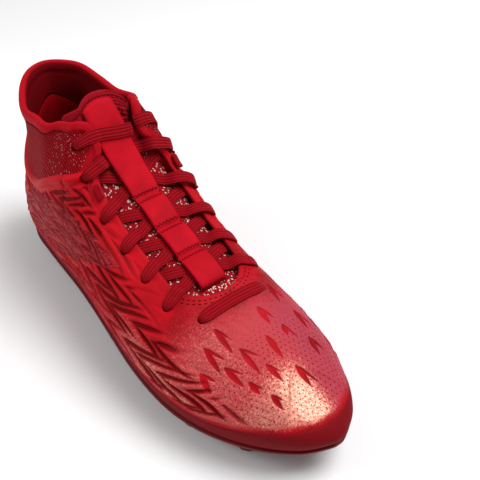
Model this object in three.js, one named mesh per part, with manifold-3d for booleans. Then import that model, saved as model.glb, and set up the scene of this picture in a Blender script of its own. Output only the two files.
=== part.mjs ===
// A mid-cut american football cleat for the right foot: a moulded outsole with its studs, an insole,
// a hollow shell, a knitted collar, a tongue, a strap that keeps the laces in place, and flat laces.
// Millimetres, +X towards the toe, +Y towards the inner side of the foot, +Z up, standing on its studs.
import * as THREE from "three";
import { mergeVertices } from "three/addons/utils/BufferGeometryUtils.js";
import Module from "manifold-3d";

const wasm = await Module();
wasm.setup();

// Driving dimensions.
const FOOT_LENGTH = 294; // the upper's lower edge, from the heel's middle to the toe's middle
const HALF_BALL = 47.5; // from the middle line to the upper's lower edge at the ball
const HALF_COLLAR = 33; // from the middle line to the collar's rim at the ankle
const HEEL_HEIGHT = 127; // the collar's rim above the floor at the back of the heel
const INSTEP_HEIGHT = 142; // the ridge of the instep above the floor where it meets the collar
const WALL = 2.2; // the shell's wall
const KNIT_WALL = 2.8; // the collar's padded knit
const CLEAR = 0.3; // the gap that pieces keep where they meet
const STUD_LENGTH = 12.5;
const PLATE_THICKNESS = 4.2;
const PLATE_LIP = 1.5; // how far the plate stands out from the upper
const PLATE_BAND = 1.8; // height of the band round the plate's edge
const PLATE_STEP = 1.9; // how far the plate steps in under that band
const PLATE_DRAFT = 1.6; // and how far it draws in from there to its underside
const SPRING = 9.5; // how far the toe's edge is lifted above the ball's
const INSOLE_THICKNESS = 4;
const INSOLE_CUP = 3; // how far the insole's edge turns up
const ROLL_HEIGHT = 2.4; // the padded roll along the shell's top edge stands this far out
const ROLL_WIDTH = 8;
const HALF_THROAT = 24.5; // from the middle line to the edge of the throat
const THROAT_END = 202; // from the heel to the round end of the throat
const THROAT_ROUND = 22; // length of that round end
const LACE_WIDTH = 7.6;
const LACE_THICKNESS = 1.6;
const EYELET_RADIUS = 2.3;
const EYELET_MARGIN = 8.5; // from the throat's edge to an eyelet's middle
const TONGUE_THICKNESS = 4.5;
const TONGUE_LIFT = 8; // how far the tongue rises past the instep's ridge
const TONGUE_LEAN = 58; // degrees above the floor at its top
const STRAP_WIDTH = 18;
const STRAP_THICKNESS = 1.2;
const STRAP_LIFT = 4; // how far it arches up between its stitched rows, over the laces

const FEATHER = STUD_LENGTH + PLATE_THICKNESS + CLEAR; // height of the upper's lower edge at the ball

// One row for each rib of the last, from the heel's middle to the toe's middle.
// along: where it stands, and hub: the point on the middle line that it fans out from, in FOOT_LENGTH.
// lateral, medial: the lower edge, in HALF_BALL. lift: that edge's height, in SPRING.
// rimAlong, rimOut, rimUp: the collar's rim, in FOOT_LENGTH, HALF_COLLAR and HEEL_HEIGHT, with its width and
// height on the outer side (L) and on the inner side (M). The last rib that has them ends on the instep's ridge.
// rise, drop: its end handles up and down, in the rib's height. flare, reach: the same handles outwards,
// in HALF_BALL, on the outer and the inner side.
const RIBS = [
  { along: 0.0, lateral: 0.0, medial: 0.0, lift: 0.42, hub: 0.12,
    rimAlong: 0.03, rimOutL: 0, rimOutM: 0, rimUpL: 1.005, rimUpM: 1.005,
    rise: 0.32, flareL: 0.22, flareM: 0.22, reachL: -0.3, reachM: -0.3, drop: 0.3 },
  { along: 0.018, lateral: 0.3, medial: 0.28, lift: 0.42, hub: 0.12,
    rimAlong: 0.045, rimOutL: 0.37, rimOutM: 0.36, rimUpL: 1.0, rimUpM: 1.0,
    rise: 0.32, flareL: 0.22, flareM: 0.2, reachL: -0.27, reachM: -0.27, drop: 0.3 },
  { along: 0.06, lateral: 0.6, medial: 0.53, lift: 0.42, hub: 0.13,
    rimAlong: 0.08, rimOutL: 0.67, rimOutM: 0.64, rimUpL: 0.975, rimUpM: 0.99,
    rise: 0.33, flareL: 0.21, flareM: 0.19, reachL: -0.18, reachM: -0.18, drop: 0.3 },
  { along: 0.125, lateral: 0.78, medial: 0.65, lift: 0.43, hub: 0.15,
    rimAlong: 0.14, rimOutL: 0.92, rimOutM: 0.77, rimUpL: 0.947, rimUpM: 0.965,
    rise: 0.34, flareL: 0.2, flareM: 0.19, reachL: -0.08, reachM: -0.08, drop: 0.3 },
  { along: 0.205, lateral: 0.83, medial: 0.61, lift: 0.52, hub: 0.2,
    rimAlong: 0.205, rimOutL: 0.96, rimOutM: 0.79, rimUpL: 0.98, rimUpM: 0.965,
    rise: 0.35, flareL: 0.2, flareM: 0.26, reachL: 0.02, reachM: 0.04, drop: 0.28 },
  { along: 0.29, lateral: 0.86, medial: 0.53, lift: 0.72, hub: 0.28,
    rimAlong: 0.278, rimOutL: 0.88, rimOutM: 0.79, rimUpL: 1.013, rimUpM: 1.01,
    rise: 0.38, flareL: 0.2, flareM: 0.34, reachL: 0.2, reachM: 0.26, drop: 0.2 },
  { along: 0.37, lateral: 0.885, medial: 0.47, lift: 0.85, hub: 0.31,
    rimAlong: 0.31, rimOutL: 0, rimOutM: 0, rimUpL: 1.0, rimUpM: 1.0,
    rise: 0.44, flareL: 0.2, flareM: 0.38, reachL: 0.62, reachM: 0.72, drop: 0 },
  { along: 0.445, lateral: 0.92, medial: 0.455, lift: 0.8, hub: 0.365,
    rise: 0.51, flareL: 0.18, flareM: 0.38, reachL: 0.82, reachM: 0.87, drop: 0 },
  { along: 0.525, lateral: 0.965, medial: 0.5, lift: 0.6, hub: 0.44,
    rise: 0.56, flareL: 0.16, flareM: 0.34, reachL: 0.95, reachM: 0.95, drop: 0 },
  { along: 0.6, lateral: 1.0, medial: 0.61, lift: 0.33, hub: 0.53,
    rise: 0.57, flareL: 0.13, flareM: 0.28, reachL: 0.97, reachM: 0.94, drop: 0 },
  { along: 0.67, lateral: 1.0, medial: 0.77, lift: 0.12, hub: 0.615,
    rise: 0.57, flareL: 0.12, flareM: 0.2, reachL: 0.92, reachM: 0.87, drop: 0 },
  { along: 0.735, lateral: 0.96, medial: 0.9, lift: 0, hub: 0.69,
    rise: 0.56, flareL: 0.12, flareM: 0.14, reachL: 0.84, reachM: 0.81, drop: 0 },
  { along: 0.8, lateral: 0.86, medial: 0.945, lift: 0.04, hub: 0.755,
    rise: 0.55, flareL: 0.12, flareM: 0.12, reachL: 0.75, reachM: 0.75, drop: 0 },
  { along: 0.865, lateral: 0.69, medial: 0.89, lift: 0.23, hub: 0.81,
    rise: 0.54, flareL: 0.12, flareM: 0.12, reachL: 0.66, reachM: 0.68, drop: 0 },
  { along: 0.925, lateral: 0.46, medial: 0.74, lift: 0.52, hub: 0.85,
    rise: 0.53, flareL: 0.13, flareM: 0.13, reachL: 0.57, reachM: 0.58, drop: 0 },
  { along: 0.972, lateral: 0.19, medial: 0.525, lift: 0.8, hub: 0.877,
    rise: 0.52, flareL: 0.14, flareM: 0.14, reachL: 0.49, reachM: 0.5, drop: 0 },
  { along: 0.995, lateral: -0.07, medial: 0.31, lift: 0.95, hub: 0.889,
    rise: 0.51, flareL: 0.15, flareM: 0.15, reachL: 0.44, reachM: 0.44, drop: 0 },
  { along: 1.0, lateral: -0.2, medial: 0.17, lift: 1.0, hub: 0.893,
    rise: 0.5, flareL: 0.15, flareM: 0.15, reachL: 0.42, reachM: 0.42, drop: 0 },
];
const RIM_RIB = RIBS.filter((rib) => rib.rimAlong !== undefined).length - 1; // where the rim meets the ridge
const TOE_RIB = RIBS.length - 1;

// The ridge of instep, vamp and toe. along is in FOOT_LENGTH, up in INSTEP_HEIGHT, side in HALF_BALL.
const RIDGE = [
  { along: 0.29, up: 1.065, side: 0.04 },
  { along: 0.31, up: 1.0, side: 0.04 },
  { along: 0.335, up: 0.895, side: 0.045 },
  { along: 0.36, up: 0.805, side: 0.05 },
  { along: 0.39, up: 0.735, side: 0.055 },
  { along: 0.43, up: 0.675, side: 0.06 },
  { along: 0.5, up: 0.607, side: 0.06 },
  { along: 0.58, up: 0.552, side: 0.07 },
  { along: 0.66, up: 0.5, side: 0.08 },
  { along: 0.74, up: 0.455, side: 0.1 },
  { along: 0.82, up: 0.405, side: 0.135 },
  { along: 0.87, up: 0.368, side: 0.165 },
  { along: 0.91, up: 0.33, side: 0.175 },
];

// The top edge of the shell, where the collar joins it. along is in FOOT_LENGTH, up in HEEL_HEIGHT.
const SHELL_EDGE = [
  { along: -0.02, up: 0.93 },
  { along: 0.02, up: 0.925 },
  { along: 0.05, up: 0.84 },
  { along: 0.085, up: 0.725 },
  { along: 0.13, up: 0.665 },
  { along: 0.18, up: 0.65 },
  { along: 0.23, up: 0.69 },
  { along: 0.29, up: 0.785 },
  { along: 0.34, up: 0.85 },
  { along: 0.39, up: 0.88 },
  { along: 0.45, up: 0.9 },
];

// Half the throat's width, in HALF_THROAT, by its place in FOOT_LENGTH. The collar's flaps close in over the
// tongue.
const THROAT = [
  { along: 0.29, half: 0.84 },
  { along: 0.315, half: 0.76 },
  { along: 0.335, half: 0.62 },
  { along: 0.35, half: 0.6 },
  { along: 0.365, half: 0.74 },
  { along: 0.385, half: 0.94 },
  { along: 0.42, half: 1.0 },
  { along: 0.55, half: 1.0 },
  { along: 0.7, half: 0.96 },
];

// Eyelet rows from the toe up. along is in FOOT_LENGTH, margin from the throat's edge in EYELET_MARGIN.
// The first row stands past the throat's end, where the margin counts from the middle line.
const EYELETS = [
  { along: 0.712, margin: 2.5 },
  { along: 0.652, margin: 1.35 },
  { along: 0.584, margin: 0.9 },
  { along: 0.514, margin: 0.8 },
  { along: 0.444, margin: 0.8 },
  { along: 0.37, margin: 1.25 },
  { along: 0.337, margin: 1.4 },
];

// Studs of the outsole. along is in FOOT_LENGTH, side in HALF_BALL, turn in degrees, size in the stud's own
// size.
const STUD_SIZE = { length: 15, width: 10.5, tipLength: 9, tipWidth: 5.5, pad: 3, padHeight: 1.2, toeTip: 6 };
const STUD_EDGE = { height: 0.6, inset: 1 }; // the rounding round its tip
const STUDS = [
  { along: 0.085, side: -0.42, turn: 24, size: 1 },
  { along: 0.085, side: 0.38, turn: -24, size: 1 },
  { along: 0.175, side: -0.58, turn: 6, size: 1 },
  { along: 0.19, side: 0.44, turn: -4, size: 1 },
  { along: 0.6, side: -0.72, turn: -6, size: 1 },
  { along: 0.6, side: 0.42, turn: 16, size: 1 },
  { along: 0.75, side: -0.77, turn: 6, size: 1 },
  { along: 0.71, side: 0.68, turn: 8, size: 1 },
  { along: 0.865, side: -0.44, turn: 34, size: 0.92 },
  { along: 0.835, side: 0.73, turn: -10, size: 0.95 },
  { along: 0.915, side: -0.2, turn: 50, size: 0.62 },
  { along: 0.93, side: 0.42, turn: -50, size: 0.62 },
];
const TOE_STUDS = 2; // the last ones, which stay off the floor

const UP = new THREE.Vector3(0, 0, 1);
const INWARD = new THREE.Vector3(0, 1, 0); // towards the inner side of the foot
const mix = (a, b, share) => a + (b - a) * share;
const smooth = (share) => share * share * (3 - 2 * share);
const clamp = THREE.MathUtils.clamp;
const rad = THREE.MathUtils.degToRad;

// Smooth curve through four values, from b at 0 to c at 1.
function through(a, b, c, d, share) {
  const slopeB = (c - a) / 2;
  const slopeC = (d - b) / 2;
  const s2 = share * share;
  const s3 = s2 * share;
  const fromB = (2 * s3 - 3 * s2 + 1) * b + (s3 - 2 * s2 + share) * slopeB;
  return fromB + (3 * s2 - 2 * s3) * c + (s3 - s2) * slopeC;
}

// A column of rows round a closed loop, at a place counted in rows.
function onLoop(rows, pick, place) {
  const count = rows.length;
  const first = Math.floor(place);
  const at = (k) => pick(rows[(((first + k) % count) + count) % count]);
  return through(at(-1), at(0), at(1), at(2), place - first);
}

// A column of a table whose rows stand at increasing "along", at x.
function fromTable(rows, column, x) {
  const along = x / FOOT_LENGTH;
  let first = 0;
  while (first < rows.length - 2 && rows[first + 1].along < along) first += 1;
  const at = (k) => rows[clamp(first + k, 0, rows.length - 1)][column];
  const from = rows[first].along;
  const share = clamp((along - from) / (rows[first + 1].along - from), -1, 2);
  return through(at(-1), at(0), at(1), at(2), share);
}

const ridgeUp = (x) => fromTable(RIDGE, "up", x) * INSTEP_HEIGHT;
const ridgeSide = (x) => fromTable(RIDGE, "side", x) * HALF_BALL;
const ridgeSlope = (x) => (ridgeUp(x + 0.5) - ridgeUp(x - 0.5));
const ridgeNormal = (x) => new THREE.Vector3(-ridgeSlope(x), 0, 1).normalize();

// The ribs as one closed loop: heel, outer side, toe, inner side.
const outer = RIBS.map((rib) => (
  { ...rib, out: -rib.lateral, flare: rib.flareL, reach: rib.reachL, rimOut: -rib.rimOutL, rimUp: rib.rimUpL }
));
const inner = RIBS.slice(1, TOE_RIB).reverse().map((rib) => (
  { ...rib, out: rib.medial, flare: rib.flareM, reach: rib.reachM, rimOut: rib.rimOutM, rimUp: rib.rimUpM }
));
const LOOP = [...outer, ...inner];
const RIM_LOOP = [...outer.slice(0, RIM_RIB + 1), ...inner.slice(-RIM_RIB + 1)];

// A place on the loop counts ribs. ribOf gives the rib's number on its own side.
const ribOf = (place) => (place <= TOE_RIB ? place : LOOP.length - place);
const placeOf = (rib, side) => (side < 0 ? rib : (LOOP.length - rib) % LOOP.length);

function crown(place) {
  const rib = ribOf(place);
  if (rib >= RIM_RIB) {
    const x = onLoop(LOOP, (row) => row.hub, place) * FOOT_LENGTH;
    return new THREE.Vector3(x, ridgeSide(x), ridgeUp(x));
  }
  const rimPlace = place <= TOE_RIB ? place : RIM_LOOP.length - rib;
  const onInstep = (row) => row.along === RIBS[RIM_RIB].along;
  const up = (row) => (onInstep(row) ? INSTEP_HEIGHT : row.rimUp * HEEL_HEIGHT);
  return new THREE.Vector3(
    onLoop(RIM_LOOP, (row) => row.rimAlong, rimPlace) * FOOT_LENGTH,
    onLoop(RIM_LOOP, (row) => row.rimOut, rimPlace) * HALF_COLLAR,
    onLoop(RIM_LOOP, up, rimPlace),
  );
}

function foot(place) {
  return new THREE.Vector3(
    onLoop(LOOP, (row) => row.along, place) * FOOT_LENGTH,
    onLoop(LOOP, (row) => row.out, place) * HALF_BALL,
    FEATHER + onLoop(LOOP, (row) => row.lift, place) * SPRING,
  );
}

// The direction that points straight out of the lower edge, evened out over the ribs round the toe.
const TINY = 1e-3;
const EVENED = { from: TOE_RIB - 3, full: TOE_RIB - 1.5, ribs: 0.8 };
function outwards(place) {
  const toe = clamp((ribOf(place) - EVENED.from) / (EVENED.full - EVENED.from), 0, 1);
  const step = mix(TINY, EVENED.ribs, smooth(toe));
  const along = foot(place + step).sub(foot((place - step + LOOP.length) % LOOP.length));
  return new THREE.Vector3(along.y, -along.x, 0).normalize();
}

// The outside of the upper: place counts ribs round the foot, share runs from the lower edge to the crown.
function skin(place, share) {
  const low = foot(place);
  const top = crown(place);
  const out = outwards(place);
  const height = top.z - low.z;
  const onRidge = clamp(ribOf(place) - RIM_RIB + 1, 0, 1);
  const reach = onLoop(LOOP, (row) => row.reach, place) * HALF_BALL;
  const lowHandle = low.clone()
    .addScaledVector(out, onLoop(LOOP, (row) => row.flare, place) * HALF_BALL)
    .addScaledVector(UP, onLoop(LOOP, (row) => row.rise, place) * height);
  const topHandle = top.clone()
    .addScaledVector(out, reach)
    .addScaledVector(UP, out.x * reach * ridgeSlope(top.x) * onRidge)
    .addScaledVector(UP, -onLoop(LOOP, (row) => row.drop, place) * height);
  return new THREE.CubicBezierCurve3(low, lowHandle, topHandle, top).getPoint(share);
}

function skinNormal(place, share) {
  const low = share > 0.5 ? share - TINY : share;
  const round = skin(place + TINY, low).sub(skin((place - TINY + LOOP.length) % LOOP.length, low));
  const upwards = skin(place, low + TINY).sub(skin(place, low));
  return round.cross(upwards).normalize();
}

// The same surface, moved out by lift, or in where lift is negative.
function lifted(place, share, lift) {
  const onRidge = share === 1 && ribOf(place) >= RIM_RIB;
  const normal = onRidge ? ridgeNormal(crown(place).x) : skinNormal(place, share);
  return skin(place, share).addScaledVector(normal, lift);
}

// Where test turns from below zero to above it, between low and high.
function solve(low, high, test) {
  let [a, b] = [low, high];
  for (let step = 0; step < 30; step += 1) {
    const middle = (a + b) / 2;
    if (test(middle) < 0) a = middle;
    else b = middle;
  }
  return (a + b) / 2;
}

// Half the throat's width at x, with its round end.
function throatHalf(x) {
  const intoEnd = clamp((x - THROAT_END + THROAT_ROUND) / THROAT_ROUND, 0, 1);
  return fromTable(THROAT, "half", x) * HALF_THROAT * Math.sqrt(1 - intoEnd * intoEnd);
}

const THROAT_RIB = solve(RIM_RIB, TOE_RIB, (rib) => crown(rib).x - THROAT_END); // the rib at the throat's end

// The share of a rib that lies outside the throat. The collar's flap on the outer side also ends at a level,
// with a rounded corner.
const FLAP_TOP = [ // along is in FOOT_LENGTH, up in HEEL_HEIGHT
  { along: 0.275, up: 1.02 },
  { along: 0.3, up: 1.025 },
  { along: 0.32, up: 1.04 },
];
const FLAP_ROUND = 0.06; // share of a rib that its corner's rounding takes
const FLAP_RIBS = { from: RIM_RIB - 1, full: RIM_RIB }; // where the rounding sets in
function throatShare(place) {
  const rib = ribOf(place);
  if (rib >= THROAT_RIB || rib < RIM_RIB - 2) return 1;
  const inside = (share) => {
    const point = skin(place, share);
    return throatHalf(point.x) - Math.abs(point.y - ridgeSide(point.x));
  };
  const edge = inside(1) < 0 ? 1 : solve(0.4, 1, inside);
  if (place > TOE_RIB || rib > RIM_RIB + 2) return edge;
  const above = (point) => point.z - fromTable(FLAP_TOP, "up", point.x) * HEEL_HEIGHT;
  const level = solve(0.4, 1, (share) => above(skin(place, share)));
  const setIn = clamp((rib - FLAP_RIBS.from) / (FLAP_RIBS.full - FLAP_RIBS.from), 0, 1);
  const rounding = mix(TINY, FLAP_ROUND, setIn);
  const near = Math.max(rounding - Math.abs(edge - level), 0);
  return Math.min(edge, level) - near ** 2 / (4 * rounding);
}

// The share of a rib at the seam between shell and collar.
function seamShare(place) {
  return solve(0.1, 1, (share) => {
    const point = skin(place, share);
    return point.z - fromTable(SHELL_EDGE, "up", point.x) * HEEL_HEIGHT;
  });
}

// A length along a rib, as a share of it.
const ribShare = (place, length) => length / skin(place, 0.35).distanceTo(skin(place, 0.65)) * 0.3;

// The place and share of the skin at x, and "half" away from the ridge on one side.
function spot(side, x, half) {
  const shareAt = (rib) => solve(0.3, 1, (share) => {
    const point = skin(placeOf(rib, side), share);
    return half - Math.abs(point.y - ridgeSide(point.x));
  });
  const rib = solve(RIM_RIB - 1.5, TOE_RIB - 1, (test) => skin(placeOf(test, side), shareAt(test)).x - x);
  return { place: placeOf(rib, side), share: shareAt(rib) };
}

// A closed mesh from its vertices and its faces of three or four of them.
function meshOf(points, faces) {
  const geometry = new THREE.BufferGeometry();
  const coordinates = points.flatMap((p) => [p.x, p.y, p.z]);
  geometry.setAttribute("position", new THREE.Float32BufferAttribute(coordinates, 3));
  geometry.setIndex(faces.flatMap((f) => (f.length === 3 ? f : [f[0], f[1], f[2], f[0], f[2], f[3]])));
  return geometry;
}

// A wall between two grids of points, outside[i][j] and inside[i][j], closed into a loop where wrap is true.
// joined(i) tells that the top edge between rows i and i + 1 has no rim, because the two sides meet there.
function wallOf(outside, inside, wrap, joined = () => false) {
  const rows = outside.length;
  const columns = outside[0].length;
  const points = [...outside.flat(), ...inside.flat()];
  const out = (i, j) => (i % rows) * columns + j;
  const into = (i, j) => rows * columns + out(i, j);
  const faces = [];
  for (let i = 0; i < (wrap ? rows : rows - 1); i += 1) {
    for (let j = 0; j < columns - 1; j += 1) {
      faces.push([out(i, j), out(i + 1, j), out(i + 1, j + 1), out(i, j + 1)]);
      faces.push([into(i, j), into(i, j + 1), into(i + 1, j + 1), into(i + 1, j)]);
    }
    faces.push([out(i, 0), into(i, 0), into(i + 1, 0), out(i + 1, 0)]);
    const top = columns - 1;
    if (!joined(i)) faces.push([out(i, top), out(i + 1, top), into(i + 1, top), into(i, top)]);
  }
  if (!wrap) {
    for (let j = 0; j < columns - 1; j += 1) {
      faces.push([out(0, j), out(0, j + 1), into(0, j + 1), into(0, j)]);
      faces.push([out(rows - 1, j), into(rows - 1, j), into(rows - 1, j + 1), out(rows - 1, j + 1)]);
    }
  }
  return meshOf(points, faces);
}

// A solid between rings that run round the foot as the ribs do, from the lowest ring to the highest.
function stackOf(rings) {
  const count = rings[0].length;
  const half = count / 2;
  const at = (k, i) => k * count + ((i + count) % count);
  const faces = [];
  for (let k = 0; k < rings.length - 1; k += 1) {
    for (let i = 0; i < count; i += 1) faces.push([at(k, i), at(k, i + 1), at(k + 1, i + 1), at(k + 1, i)]);
  }
  const top = rings.length - 1;
  for (let i = 0; i < half; i += 1) {
    faces.push([at(0, i), at(0, -i), at(0, -i - 1), at(0, i + 1)]);
    faces.push([at(top, i), at(top, i + 1), at(top, -i - 1), at(top, -i)]);
  }
  return meshOf(rings.flat(), faces);
}

// A geometry with its equal vertices merged and its faces of no area left out, as a solid for cuts and joins.
function solidOf(geometry) {
  const bare = new THREE.BufferGeometry().setAttribute("position", geometry.getAttribute("position").clone());
  if (geometry.index) bare.setIndex(geometry.index.clone());
  const merged = mergeVertices(bare, 1e-3);
  const index = merged.index.array;
  const kept = [];
  for (let i = 0; i < index.length; i += 3) {
    const [a, b, c] = [index[i], index[i + 1], index[i + 2]];
    if (a !== b && b !== c && a !== c) kept.push(a, b, c);
  }
  const vertProperties = new Float32Array(merged.getAttribute("position").array);
  return new wasm.Manifold(new wasm.Mesh({ numProp: 3, vertProperties, triVerts: new Uint32Array(kept) }));
}

function geometryOf(solid) {
  const mesh = solid.getMesh();
  const geometry = new THREE.BufferGeometry();
  geometry.setAttribute("position", new THREE.BufferAttribute(new Float32Array(mesh.vertProperties), 3));
  geometry.setIndex(new THREE.BufferAttribute(new Uint32Array(mesh.triVerts), 1));
  return geometry;
}

const FINISHES = {
  shell: new THREE.MeshStandardMaterial({ color: 0xb5101f, roughness: 0.45, metalness: 0.1 }),
  knit: new THREE.MeshStandardMaterial({ color: 0x9c0d1a, roughness: 0.9, metalness: 0 }),
  plate: new THREE.MeshStandardMaterial({ color: 0x8f0f17, roughness: 0.4, metalness: 0 }),
  lining: new THREE.MeshStandardMaterial({ color: 0x7d0a14, roughness: 0.9, metalness: 0 }),
  strap: new THREE.MeshStandardMaterial({ color: 0xc41426, roughness: 0.6, metalness: 0 }),
  lace: new THREE.MeshStandardMaterial({ color: 0xb01020, roughness: 0.8, metalness: 0 }),
};

function piece(name, geometry, finish) {
  const mesh = new THREE.Mesh(geometry, FINISHES[finish]);
  mesh.name = name;
  return mesh;
}

// The collar ends at the throat where its band would get lower than this.
const COLLAR_LEAST = 5;
const bandHeight = (place) => (throatShare(place) - seamShare(place)) / ribShare(place, 1);
const tooLow = (rib, side) => COLLAR_LEAST - bandHeight(placeOf(rib, side));
const collarEnd = (side) => solve(RIM_RIB - 1, RIM_RIB + 2, (rib) => tooLow(rib, side));
const COLLAR_ENDS = { lateral: collarEnd(-1), medial: collarEnd(1) };

// The ribs that a wall is worked out at, on one side, closer together at the collar and the throat's end.
const CLOSE = 1 / 3;
const WIDE = 1 / 2;
function stations(collarRib) {
  const fixed = [collarRib, THROAT_RIB - 0.03, THROAT_RIB];
  const ribs = [...fixed];
  let rib = 0;
  while (rib <= TOE_RIB) {
    const here = rib;
    if (fixed.every((own) => Math.abs(own - here) > CLOSE / 3)) ribs.push(rib);
    rib += rib < RIM_RIB + 1 || Math.abs(rib - THROAT_RIB) < 1 ? CLOSE : WIDE;
  }
  return ribs.sort((a, b) => a - b);
}
const LATERAL = stations(COLLAR_ENDS.lateral);
const MEDIAL = stations(COLLAR_ENDS.medial);
const PLACES = [...LATERAL, ...MEDIAL.slice(1, -1).reverse().map((rib) => placeOf(rib, 1))];

// An eyelet's place: row counts from the toe, side is -1 on the outer side and 1 on the inner side.
const eyeletX = (row) => EYELETS[row].along * FOOT_LENGTH;
const eyeletHalf = (row) => throatHalf(eyeletX(row)) + EYELETS[row].margin * EYELET_MARGIN;
const SHELL_EYELETS = [0, 1, 2, 3, 4, 5];
const COLLAR_EYELETS = [6];
const PUNCH = { above: 4, below: 5, sides: 10 }; // the cutter's ends above and below the skin

// The turn from a cylinder's own axis to a direction.
const turned = (direction) => new THREE.Quaternion().setFromUnitVectors(new THREE.Vector3(0, 1, 0), direction);

// A wall with the eyelets of the given rows cut through it on both sides.
function punched(geometry, rows) {
  let solid = solidOf(geometry);
  for (const row of rows) {
    for (const side of [-1, 1]) {
      const at = spot(side, eyeletX(row), eyeletHalf(row));
      const length = PUNCH.above + PUNCH.below;
      const punch = new THREE.CylinderGeometry(EYELET_RADIUS, EYELET_RADIUS, length, PUNCH.sides);
      punch.translate(0, (PUNCH.above - PUNCH.below) / 2, 0);
      punch.applyQuaternion(turned(skinNormal(at.place, at.share)));
      punch.translate(...skin(at.place, at.share).toArray());
      solid = solid.subtract(solidOf(punch));
    }
  }
  return geometryOf(solid);
}

// The shell: sides, vamp and toe in one hollow wall, with a padded roll along its top edge.
const SIDE_LEVELS = 8;
const ROLL = [ // out is in ROLL_HEIGHT, back from the edge in ROLL_WIDTH
  { back: 1.0, out: 0 },
  { back: 0.72, out: 0.75 },
  { back: 0.36, out: 1 },
  { back: 0.0, out: 0.45 },
];

function shellTop(place) {
  const rib = ribOf(place);
  if (rib > RIM_RIB + 3) return throatShare(place);
  return Math.min(seamShare(place), throatShare(place));
}

function makeShell() {
  const outside = [];
  const inside = [];
  for (const place of PLACES) {
    const rib = ribOf(place);
    const top = shellTop(place);
    const rolled = 1 - smooth(clamp((rib - RIM_RIB - 0.5) / 1.5, 0, 1));
    const roll = Math.min(ribShare(place, ROLL_WIDTH), top / 3);
    const column = [];
    const lining = [];
    for (let level = 0; level < SIDE_LEVELS; level += 1) {
      const share = (top - roll) * level / SIDE_LEVELS;
      column.push(lifted(place, share, 0));
      lining.push(lifted(place, share, -WALL));
    }
    for (const bend of ROLL) {
      const share = bend.back === 0 ? top : top - roll * bend.back;
      column.push(lifted(place, share, bend.out * ROLL_HEIGHT * rolled));
      lining.push(lifted(place, share, -WALL));
    }
    outside.push(column);
    inside.push(lining);
  }
  const pastThroat = (i) => ribOf(PLACES[i % PLACES.length]) >= THROAT_RIB;
  const merged = (i) => pastThroat(i) && pastThroat(i + 1);
  return punched(wallOf(outside, inside, true, merged), SHELL_EYELETS);
}

// The collar: an open band of knit from the shell's edge to the rim, from one side of the throat to the
// other.
const COLLAR_LEVELS = 7;
const RIM_ROUNDING = 0.7;

function makeCollar() {
  const lateral = LATERAL.filter((rib) => rib <= COLLAR_ENDS.lateral);
  const medial = MEDIAL.filter((rib) => rib > 0 && rib <= COLLAR_ENDS.medial).reverse();
  const outside = [];
  const inside = [];
  for (const place of [...medial.map((rib) => placeOf(rib, 1)), ...lateral]) {
    const low = seamShare(place) + ribShare(place, CLEAR);
    const high = throatShare(place);
    const column = [];
    const lining = [];
    for (let level = 0; level <= COLLAR_LEVELS; level += 1) {
      const share = mix(low, high, level / COLLAR_LEVELS);
      const rounded = level === COLLAR_LEVELS ? RIM_ROUNDING : 0;
      column.push(lifted(place, share, KNIT_WALL - WALL - rounded));
      lining.push(lifted(place, share, -WALL + rounded));
    }
    outside.push(column);
    inside.push(lining);
  }
  return punched(wallOf(outside, inside, false), COLLAR_EYELETS);
}

const THIN = 0.01; // the height of a step's ledge
// A ring round the foot, "spread" outside the upper's lower edge and "rise" above the sole's top.
function soleRing(spread, rise) {
  return PLACES.map((place) => {
    const low = foot(place);
    const out = outwards(place);
    return low.addScaledVector(out, spread).addScaledVector(UP, rise - CLEAR);
  });
}

// One stud of rounded blade sections, from inside the plate down to its flat tip.
const STUD_SIDES = 12;
const squared = (value) => Math.sign(value) * Math.abs(value) ** 0.7;
function makeStud(stud, index) {
  const x = stud.along * FOOT_LENGTH;
  const base = fromTable(RIBS, "lift", x) * SPRING + STUD_LENGTH;
  const tip = index >= STUDS.length - TOE_STUDS ? STUD_SIZE.toeTip : 0;
  const bury = PLATE_THICKNESS / 2;
  const { length, width, tipLength, tipWidth, pad, padHeight } = STUD_SIZE;
  const foot = Math.max(base - padHeight, tip + 2 * STUD_EDGE.height);
  const sections = [
    { z: tip, long: tipLength - STUD_EDGE.inset, wide: tipWidth - STUD_EDGE.inset },
    { z: tip + STUD_EDGE.height, long: tipLength, wide: tipWidth },
    { z: foot, long: length, wide: width },
    { z: foot + THIN, long: length + pad, wide: width + pad },
    { z: base + bury, long: length + pad + STUD_EDGE.inset, wide: width + pad + STUD_EDGE.inset },
  ];
  const points = [];
  for (const section of sections) {
    for (let k = 0; k < STUD_SIDES; k += 1) {
      const angle = k / STUD_SIDES * 2 * Math.PI;
      const [long, wide] = [squared(Math.cos(angle)) * section.long, squared(Math.sin(angle)) * section.wide];
      const local = new THREE.Vector3(long, wide, 0);
      local.multiplyScalar(stud.size / 2).applyAxisAngle(UP, rad(stud.turn));
      points.push(local.add(new THREE.Vector3(x, stud.side * HALF_BALL, section.z)));
    }
  }
  const faces = [];
  const at = (k, i) => k * STUD_SIDES + (i % STUD_SIDES);
  for (let k = 0; k < sections.length - 1; k += 1) {
    for (let i = 0; i < STUD_SIDES; i += 1) {
      faces.push([at(k, i), at(k, i + 1), at(k + 1, i + 1), at(k + 1, i)]);
    }
  }
  for (let i = 1; i < STUD_SIDES - 1; i += 1) {
    faces.push([at(0, 0), at(0, i + 1), at(0, i)]);
    faces.push([at(sections.length - 1, 0), at(sections.length - 1, i), at(sections.length - 1, i + 1)]);
  }
  return meshOf(points, faces);
}

function makeOutsole() {
  let plate = solidOf(stackOf([
    soleRing(PLATE_LIP - PLATE_STEP - PLATE_DRAFT, -PLATE_THICKNESS),
    soleRing(PLATE_LIP - PLATE_STEP, -PLATE_BAND),
    soleRing(PLATE_LIP, -PLATE_BAND + THIN),
    soleRing(PLATE_LIP, 0),
  ]));
  STUDS.forEach((stud, index) => { plate = plate.add(solidOf(makeStud(stud, index))); });
  return geometryOf(plate);
}

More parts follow.
